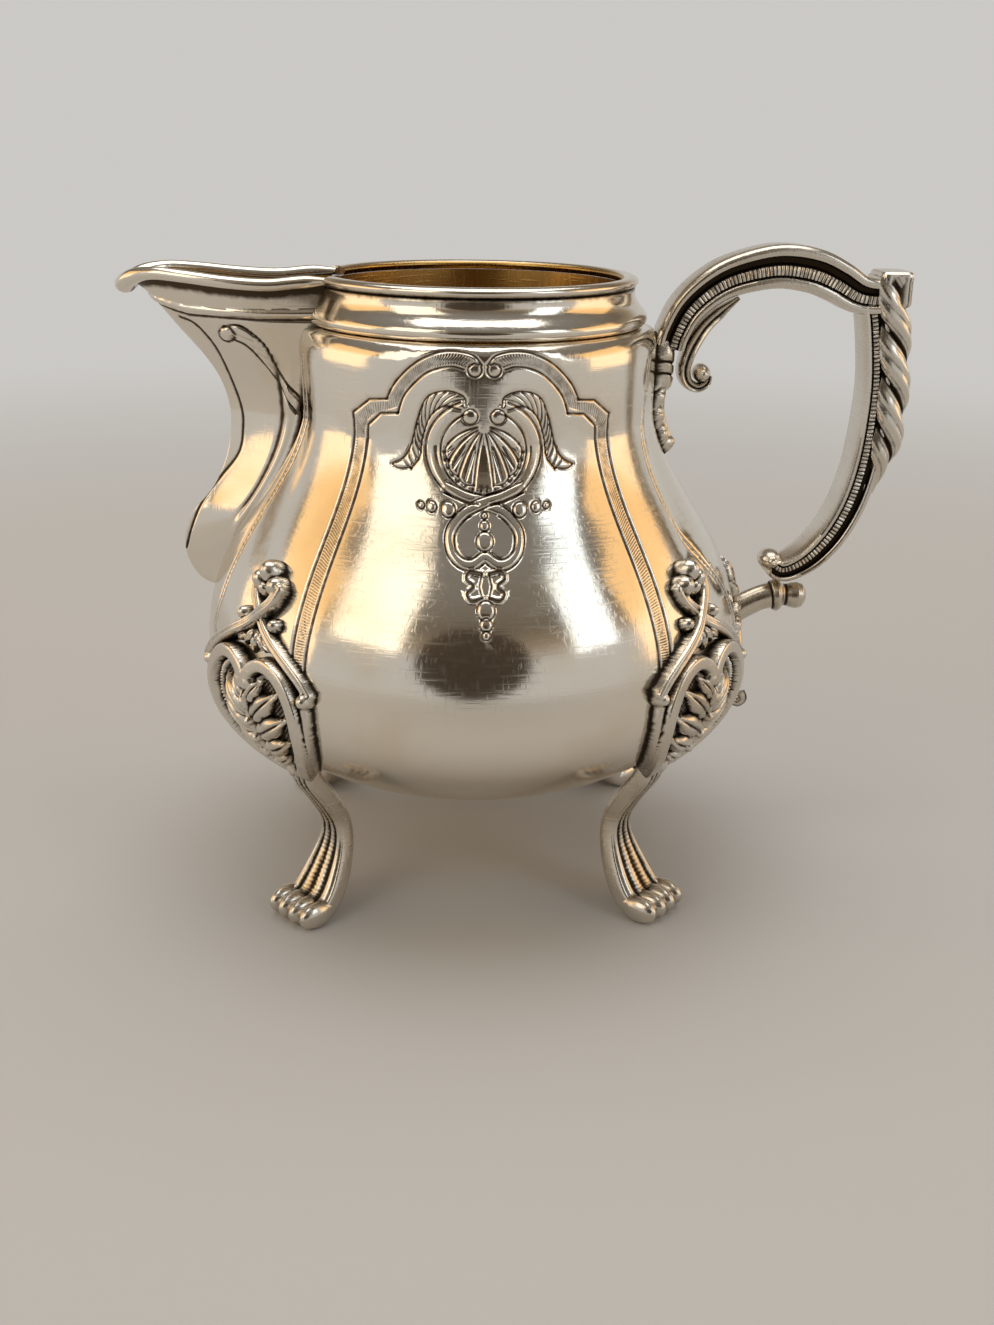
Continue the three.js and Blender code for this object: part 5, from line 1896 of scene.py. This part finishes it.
@dataclass
class Leg:
    """A cast leg: a heart-shaped strapwork shield on the body and an S-shaped shank on a paw."""

    shape: BodyShape
    corner: Corner
    shank_from_side: float = 42.0
    shield_from_side: float = 39.3
    shield_half: float = 16.0
    shield_z: Pair = (24.2, 61.4)
    grid_step: float = 0.17
    ground: float = -0.3
    field_height: float = 0.7
    stipple_pitch: float = 0.8
    band_half: float = 1.05
    band_height: float = 2.6
    band_beads: int = 52
    shank_width: float = 5.0
    shank_thickness: float = 3.4
    shank_top_z: float = 27.0
    waist_z: float = 14.2
    waist_radius: float = 31.3
    foot_radius: float = 37.8
    flutes: int = 4
    stroke_pitch: float = 0.8
    paw_width: float = 11.3
    paw_height: float = 5.0
    toes: int = 4

    def build(self, dressing: Dressing) -> None:
        """Makes the shield and the shank.

        Args:
            dressing: the materials.
        """
        name = self.corner.name.lower()
        self._shield().piece(f"strapwork_{name}", f"shield_{name}", Slot.CAST, dressing, crease=55.0)
        self._shank().piece(f"paw_{name}", f"shank_{name}", Slot.CAST, dressing, crease=45.0)

    def _lobe(self) -> Array:
        """The middle line of one lobe of the heart-shaped band, from the notch to the tip."""
        return spline([(0.5, 43.2), (1.1, 45.1), (3.6, 46.5), (6.5, 46.1), (9.1, 43.8), (10.7, 39.8),
                       (10.0, 34.8), (7.0, 30.4), (3.3, 27.7), (0.0, 26.3)], 60)

    def _shield(self) -> Sculpt:
        """The shield with its crossed straps, knob, beads and leaves.

        Returns:
            The mesh, not yet a piece.
        """
        columns = np.arange(-self.shield_half, self.shield_half + 0.01, self.grid_step)
        across, z = np.meshgrid(columns, np.arange(*self.shield_z, self.grid_step))
        aside = np.abs(across)
        sheet = Relief(aside, z, self.ground)
        lobe = self._lobe()
        inside = inside_line(aside, z, np.vstack([[(-0.5, 26.0), (-0.5, 43.2)], lobe]))
        weave = [np.cos(2 * math.pi * place / self.stipple_pitch) for place in (across, z)]
        stipple = 0.5 + 0.5 * weave[0] * weave[1]
        sheet.height = np.where(inside, self.field_height - 0.18 * stipple, sheet.height)
        gap, share = sheet.near(lobe, 4.0)
        row = np.where(inside, np.clip(1 - ((gap - 1.65) / 0.42) ** 2, 0, 1), 0.0)
        beads = (0.35 + 0.4 * ripple(share * self.band_beads, 1.0)) * np.sqrt(row)
        sheet.height = np.maximum(sheet.height, self.field_height + beads - (row <= 0))
        self._leaves(sheet)
        sheet.wire(lobe, self.band_half, self.band_height, flat=6.0)
        sheet.boss((0.9, 43.4), (1.35, 1.35), 1.5, 1.2)
        self._edge_bars(sheet)
        self._straps(sheet, across, z)
        hollow = (blurred(sheet.height, 7) - sheet.height) / 1.1
        fine = (blurred(sheet.height, 2) - sheet.height) / 0.35
        patina = np.clip(np.maximum(hollow, fine) + 0.12, 0, 1)
        bare = inside & (sheet.height < self.field_height + 0.1)
        patina = np.where(bare, np.maximum(patina, 0.4 + 0.45 * stipple), patina)
        points, normals = self.shape.wall_at(across, z, self.corner.angle(self.shield_from_side))
        return Sculpt().relief(points, normals, sheet.height, np.maximum(patina, 0.55 * sheet.patina))

    def _leaves(self, sheet: Relief) -> None:
        """Adds the stacked acanthus leaves that fill the heart.

        Args:
            sheet: the relief to add to.
        """
        pairs = [((0.3, 40.2), (3.5, 44.3), 1.5), ((0.4, 37.4), (6.8, 42.9), 1.9),
                 ((0.4, 34.8), (8.4, 39.2), 1.9), ((0.3, 32.2), (7.2, 34.8), 1.7),
                 ((0.2, 30.0), (4.6, 31.3), 1.35)]
        for root, tip, width in pairs:
            sheet.leaf(root, tip, width, 1.9, self.field_height)
        sheet.wire(np.array([[0.0, 29.0], [0.0, 40.5]]), (0.45, 0.7), 1.4, self.field_height)
        sheet.leaf((0.0, 38.4), (0.0, 42.9), 1.1, 2.1, self.field_height)
        for level in (40.2, 37.2, 34.4, 31.8):
            sheet.boss((0.0, level), (0.75, 0.75), 1.3, 1.5)

    def _edge_bars(self, sheet: Relief) -> None:
        """Adds the side balls with their tapering bars, and the banded knot at the tip.

        Args:
            sheet: the relief to add to.
        """
        bar = spline([(11.9, 42.2), (12.1, 39.6), (11.2, 35.2), (8.9, 31.3), (5.8, 28.4), (3.2, 27.0)], 40)
        sheet.wire(bar - (0.6, 0.0), (1.2, 0.7), 1.0, flat=3.0)
        sheet.wire(bar, (0.75, 0.4), 1.7, flat=3.0)
        sheet.boss((12.1, 43.1), (1.3, 1.4), 2.7)
        sheet.boss((0.0, 26.7), (2.6, 1.9), 3.2)
        for level in (26.1, 27.3):
            sheet.cut(np.array([[0.0, level], [2.6, level + 0.2]]), 0.2, 0.35)

    def _straps(self, sheet: Relief, across: Array, z: Array) -> None:
        """Adds the two crossing straps, one over the other, and the knob and beads above.

        Args:
            sheet: the relief to add to.
            across: the points' sideways distances.
            z: heights.
        """
        line = spline([(-3.6, 57.0), (-2.9, 55.2), (-0.9, 53.5), (1.9, 51.4), (4.8, 49.7), (8.3, 47.6),
                       (11.0, 45.6), (12.6, 43.9)], 60)
        crossing = []
        for strap, height, base in ((line, 1.7, 0.0), (line * (-1, 1), 2.1, 0.3)):
            laid = Relief(across, z, self.ground)
            laid.wire(strap, (1.0, 0.85), height, base, flat=3.0)
            laid.cut(strap, 0.25, 0.2)
            crossing.append(laid)
        under, over = crossing
        sheet.height = np.maximum(sheet.height, np.maximum(under.height, over.height))
        sheet.patina = np.maximum(sheet.patina, 0.6 * np.maximum(under.patina, over.patina))
        for root, tip in (((0.2, 51.0), (0.0, 47.2)), ((0.6, 50.8), (2.6, 47.9)),
                          ((1.6, 50.2), (4.6, 48.2))):
            sheet.leaf(root, tip, 0.8, 1.2, 0.3)
        for centre, radii, height in (((4.1, 52.3), (1.1, 1.1), 2.0), ((2.4, 57.3), (1.7, 1.6), 2.9),
                                      ((0.0, 58.9), (1.9, 1.8), 3.3), ((0.0, 56.6), (1.3, 1.2), 2.6)):
            sheet.boss(centre, radii, height)

    def _shank(self) -> Sculpt:
        """The fluted shank and its paw.

        Returns:
            The mesh, not yet a piece.
        """
        angle = self.corner.angle(self.shank_from_side)
        top_z, waist_z = self.shank_top_z, self.waist_z
        top = float(self.shape.radius(top_z)) + self.shank_thickness * 0.3
        waist, foot = self.waist_radius, self.foot_radius
        line = spline([
            (lerp(top, waist, -0.05), top_z + 1.2), (lerp(top, waist, 0.12), lerp(top_z, waist_z, 0.18)),
            (lerp(top, waist, 0.58), lerp(top_z, waist_z, 0.52)),
            (lerp(top, waist, 0.92), lerp(top_z, waist_z, 0.82)), (waist, waist_z - 0.9),
            (lerp(waist, foot, 0.12), waist_z - 4.3), (lerp(waist, foot, 0.42), 5.9),
            (lerp(waist, foot, 0.75), 3.0), (foot + 0.2, 1.9),
        ], 190)
        share = np.linspace(0.0, 1.0, len(line))[:, None]
        wide = lerp(self.shank_width, self.paw_width * 0.86, smooth(share, 0.42, 0.95))
        thick = lerp(self.shank_thickness, self.paw_height * 0.86, smooth(share, 0.5, 0.84))
        turn = around(96)[None, :]
        out, side = 0.5 * squared(np.cos(turn), 0.5), 0.5 * squared(np.sin(turn), 0.5)
        front = smooth(out, 0.3, 0.46) * (1 - smooth(np.abs(side), 0.44, 0.49))
        flutes = 0.5 - 0.5 * np.cos(2 * np.pi * self.flutes * (side + 0.5))
        valley = front * (1 - flutes) ** 1.5
        strokes = front * ripple(share * length_of(line), self.stroke_pitch)
        strokes = strokes * smooth(0.34 - np.abs(side), 0.0, 0.1)
        rings = swept(line, (out - 0.1 * valley - 0.008 * strokes) * thick, side * wide)
        rings[..., 2] = np.maximum(rings[..., 2], 0.0)
        patina = np.clip(0.75 * valley + 0.18 * strokes, 0, 1)
        sculpt = Sculpt().tube(turned(rings, angle), patina)
        self._paw(sculpt, angle)
        return sculpt

    def _paw(self, sculpt: Sculpt, angle: float) -> None:
        """Adds the paw's toes, no lower than the table.

        Args:
            sculpt: the mesh to add to.
            angle: the leg's angle about the axis, in radians.
        """
        pitch = self.paw_width / (self.toes + 0.3)
        axes = turned(np.diag([pitch * 1.35, pitch * 0.58, 2.3]), angle)
        for k in range(self.toes):
            y = (k - (self.toes - 1) / 2) * pitch
            ahead = self.foot_radius + pitch * 0.6 - 0.09 * abs(y)
            sculpt.dome(turned(np.array([ahead, y, 2.1]), angle), axes, count=24)
            for points in sculpt.points[-2:]:
                points[:, 2] = np.maximum(points[:, 2], 0.0)


# Studio


@dataclass(frozen=True)
class Lamp:
    """A soft rectangular lamp, in metres and watts."""

    name: str
    place: Triple
    aim: Triple
    size: Pair
    power: float
    colour: Triple


@dataclass
class Studio:
    """The pale table, the soft lamps, the room that the silver mirrors, and the camera."""

    table_radius: float = 6.0
    table_colour: Triple = (0.56, 0.565, 0.57)
    pale: Triple = (0.60, 0.585, 0.56)
    fade: Pair = (0.18, 0.62)
    horizon: float = 0.24
    zenith: Triple = (0.28, 0.27, 0.26)
    walls: tuple[tuple[float, Triple], ...] = (
        (0.36, (0.34, 0.27, 0.19)), (0.5, (0.17, 0.14, 0.105)), (0.7, (0.22, 0.2, 0.175)),
    )
    lamps: tuple[Lamp, ...] = (
        Lamp("lamp_left", (-0.58, -0.5, 0.55), (0, 0, 0.06), (0.5, 0.55), 1.35, (1.0, 0.9, 0.74)),
        Lamp("lamp_right", (0.6, -0.5, 0.5), (0, 0, 0.06), (0.3, 0.5), 0.8, (0.84, 0.93, 1.0)),
        Lamp("lamp_top", (0.0, 0.15, 0.95), (0, 0, 0.0), (0.9, 0.9), 5.0, (1.0, 0.97, 0.92)),
        Lamp("glow_left", (-0.8, 0.02, 0.32), (0, 0, 0.06), (0.6, 0.6), 1.2, (1.0, 0.62, 0.25)),
        Lamp("glow_right", (0.8, 0.0, 0.32), (0, 0, 0.06), (0.6, 0.6), 1.2, (1.0, 0.6, 0.23)),
    )
    card_place: Triple = (-0.03, -0.42, 0.15)
    card_size: Pair = (0.36, 0.29)
    card_colour: Triple = (0.06, 0.045, 0.03)
    eye: Triple = (-10.03, -229.78, 121.4)
    heading: float = 3.543
    pitch: float = 20.586
    roll: float = 0.884
    focal_pixels: float = 1400.0
    picture_height: float = 1325.0
    film: float = 36.0

    def build(self) -> None:
        """Makes the table, the light and the camera."""
        self._table()
        self._card()
        self._room()
        for lamp in self.lamps:
            self._lamp(lamp)
        self._camera()
        bpy.context.scene.view_settings.view_transform = "Standard"

    @staticmethod
    def _sheet(name: str, edge: Array, material: bpy.types.Material) -> bpy.types.Object:
        """A flat sheet inside a closed edge.

        Args:
            name: the sheet's name.
            edge: the points of its closed edge.
            material: what it is made of.

        Returns:
            The new object.
        """
        mesh = bpy.data.meshes.new(name)
        mesh.from_pydata(edge.tolist(), [], [list(range(len(edge)))])
        mesh.materials.append(material)
        return placed(name, mesh)

    def _table(self) -> None:
        """Makes the pale round table top."""
        turn = around(96)
        rim = np.column_stack([np.cos(turn), np.sin(turn), np.zeros(len(turn))]) * self.table_radius
        table = self._sheet("pale_table", rim, self._table_finish())

    def _table_finish(self) -> bpy.types.Material:
        """The table's material, which turns into the pale background far from the jug.

        Returns:
            The new material.
        """
        material, tree, shader = new_material("pale_table")
        shader.inputs["Base Color"].default_value = opaque(self.table_colour)
        shader.inputs["Roughness"].default_value = 0.7
        shader.inputs["Specular IOR Level"].default_value = 0.2
        far = shade(tree, "Emission", {"Color": opaque(self.pale)}, "Emission")
        spot = shade(tree, "NewGeometry", {}, "Position")
        away = shade(tree, "VectorMath", {0: spot}, "Value", operation="LENGTH")
        share = combined(tree, "MULTIPLY", ramp(tree, away, *self.fade), self._seen(tree))
        blend = shade(tree, "MixShader", {"Fac": share, 1: shader.outputs["BSDF"], 2: far}, "Shader")
        tree.links.new(blend, tree.nodes["Material Output"].inputs["Surface"])
        return material

    @staticmethod
    def _seen(tree: Tree) -> Socket:
        """1 for rays from the camera, a mirror or glass, and 0 for the light that falls on things.

        Args:
            tree: the nodes of a material.

        Returns:
            The value's socket.
        """
        path = tree.nodes.new("ShaderNodeLightPath").outputs
        clear = combined(tree, "ADD", path["Is Glossy Ray"], path["Is Transmission Ray"])
        return combined(tree, "MAXIMUM", path["Is Camera Ray"], clear)

    def _card(self) -> None:
        """Makes the dark oval card behind the camera, which the belly mirrors."""
        material, _, shader = new_material("dark_card")
        shader.inputs["Base Color"].default_value = opaque(self.card_colour)
        shader.inputs["Roughness"].default_value = 0.8
        x, y, z = self.card_place
        wide, tall = self.card_size
        oval = arc((x, z), (wide / 2, tall / 2), 0, 352.5, 48)
        edge = np.insert(oval, 1, y, axis=1)
        card = self._sheet("dark_card", edge, material)
        card.visible_camera = False

    def _room(self) -> None:
        """Makes the world: pale round the horizon, and a dim warm room above it."""
        world = bpy.data.worlds.new("studio_room")
        bpy.context.scene.world = world
        world.use_nodes = True
        tree = world.node_tree
        way = shade(tree, "TexCoord", {}, "Generated")
        sky = tree.nodes.new("ShaderNodeValToRGB")
        stops = sky.color_ramp.elements
        stops[0].position, stops[0].color = self.horizon, opaque(self.pale)
        stops[1].position, stops[1].color = 1.0, opaque(self.zenith)
        for position, colour in self.walls:
            stops.new(position).color = opaque(colour)
        tree.links.new(shade(tree, "SeparateXYZ", {"Vector": way}, "Z"), sky.inputs["Fac"])
        tree.links.new(sky.outputs["Color"], tree.nodes["Background"].inputs["Color"])

    def _lamp(self, lamp: Lamp) -> None:
        """Hangs a soft lamp.

        Args:
            lamp: the lamp to hang.
        """
        light = bpy.data.lights.new(lamp.name, "AREA")
        light.shape = "RECTANGLE"
        light.size, light.size_y = lamp.size
        light.energy = lamp.power
        light.color = lamp.colour
        hung = placed(lamp.name, light)
        hung.location = lamp.place
        aim = Vector(lamp.aim) - Vector(lamp.place)
        hung.rotation_euler = aim.to_track_quat("-Z", "Y").to_euler()

    def _camera(self) -> None:
        """Sets up the camera at the photograph's viewpoint."""
        lens = bpy.data.cameras.new("photo_camera")
        lens.sensor_width = self.film
        lens.lens = self.film * self.focal_pixels / self.picture_height
        lens.clip_start = 0.01
        camera = placed("photo_camera", lens)
        tilt = Matrix.Rotation(math.radians(90 - self.pitch), 4, "X")
        turn = Matrix.Rotation(math.radians(-self.heading), 4, "Z")
        lean = Matrix.Rotation(math.radians(self.roll), 4, "Z")
        spot = Vector((self.eye[0] + AXIS_X, self.eye[1], self.eye[2])) * MM
        camera.matrix_world = Matrix.Translation(spot) @ turn @ tilt @ lean
        bpy.context.scene.camera = camera


def main() -> None:
    """Builds the jug's sub-assemblies in order, then the studio."""
    logging.basicConfig(level=logging.INFO, format="%(name)s: %(message)s")
    shape = BodyShape()
    dressing = Dressing()
    mouth = Mouth(shape)
    legs = [Leg(shape, corner) for corner in Corner]
    for part in (Pot(shape), mouth, Spout(shape, mouth), Handle(shape), *legs):
        part.build(dressing)
        LOG.info("built %s", type(part).__name__)
    Studio().build()


if __name__ == "__main__":
    main()
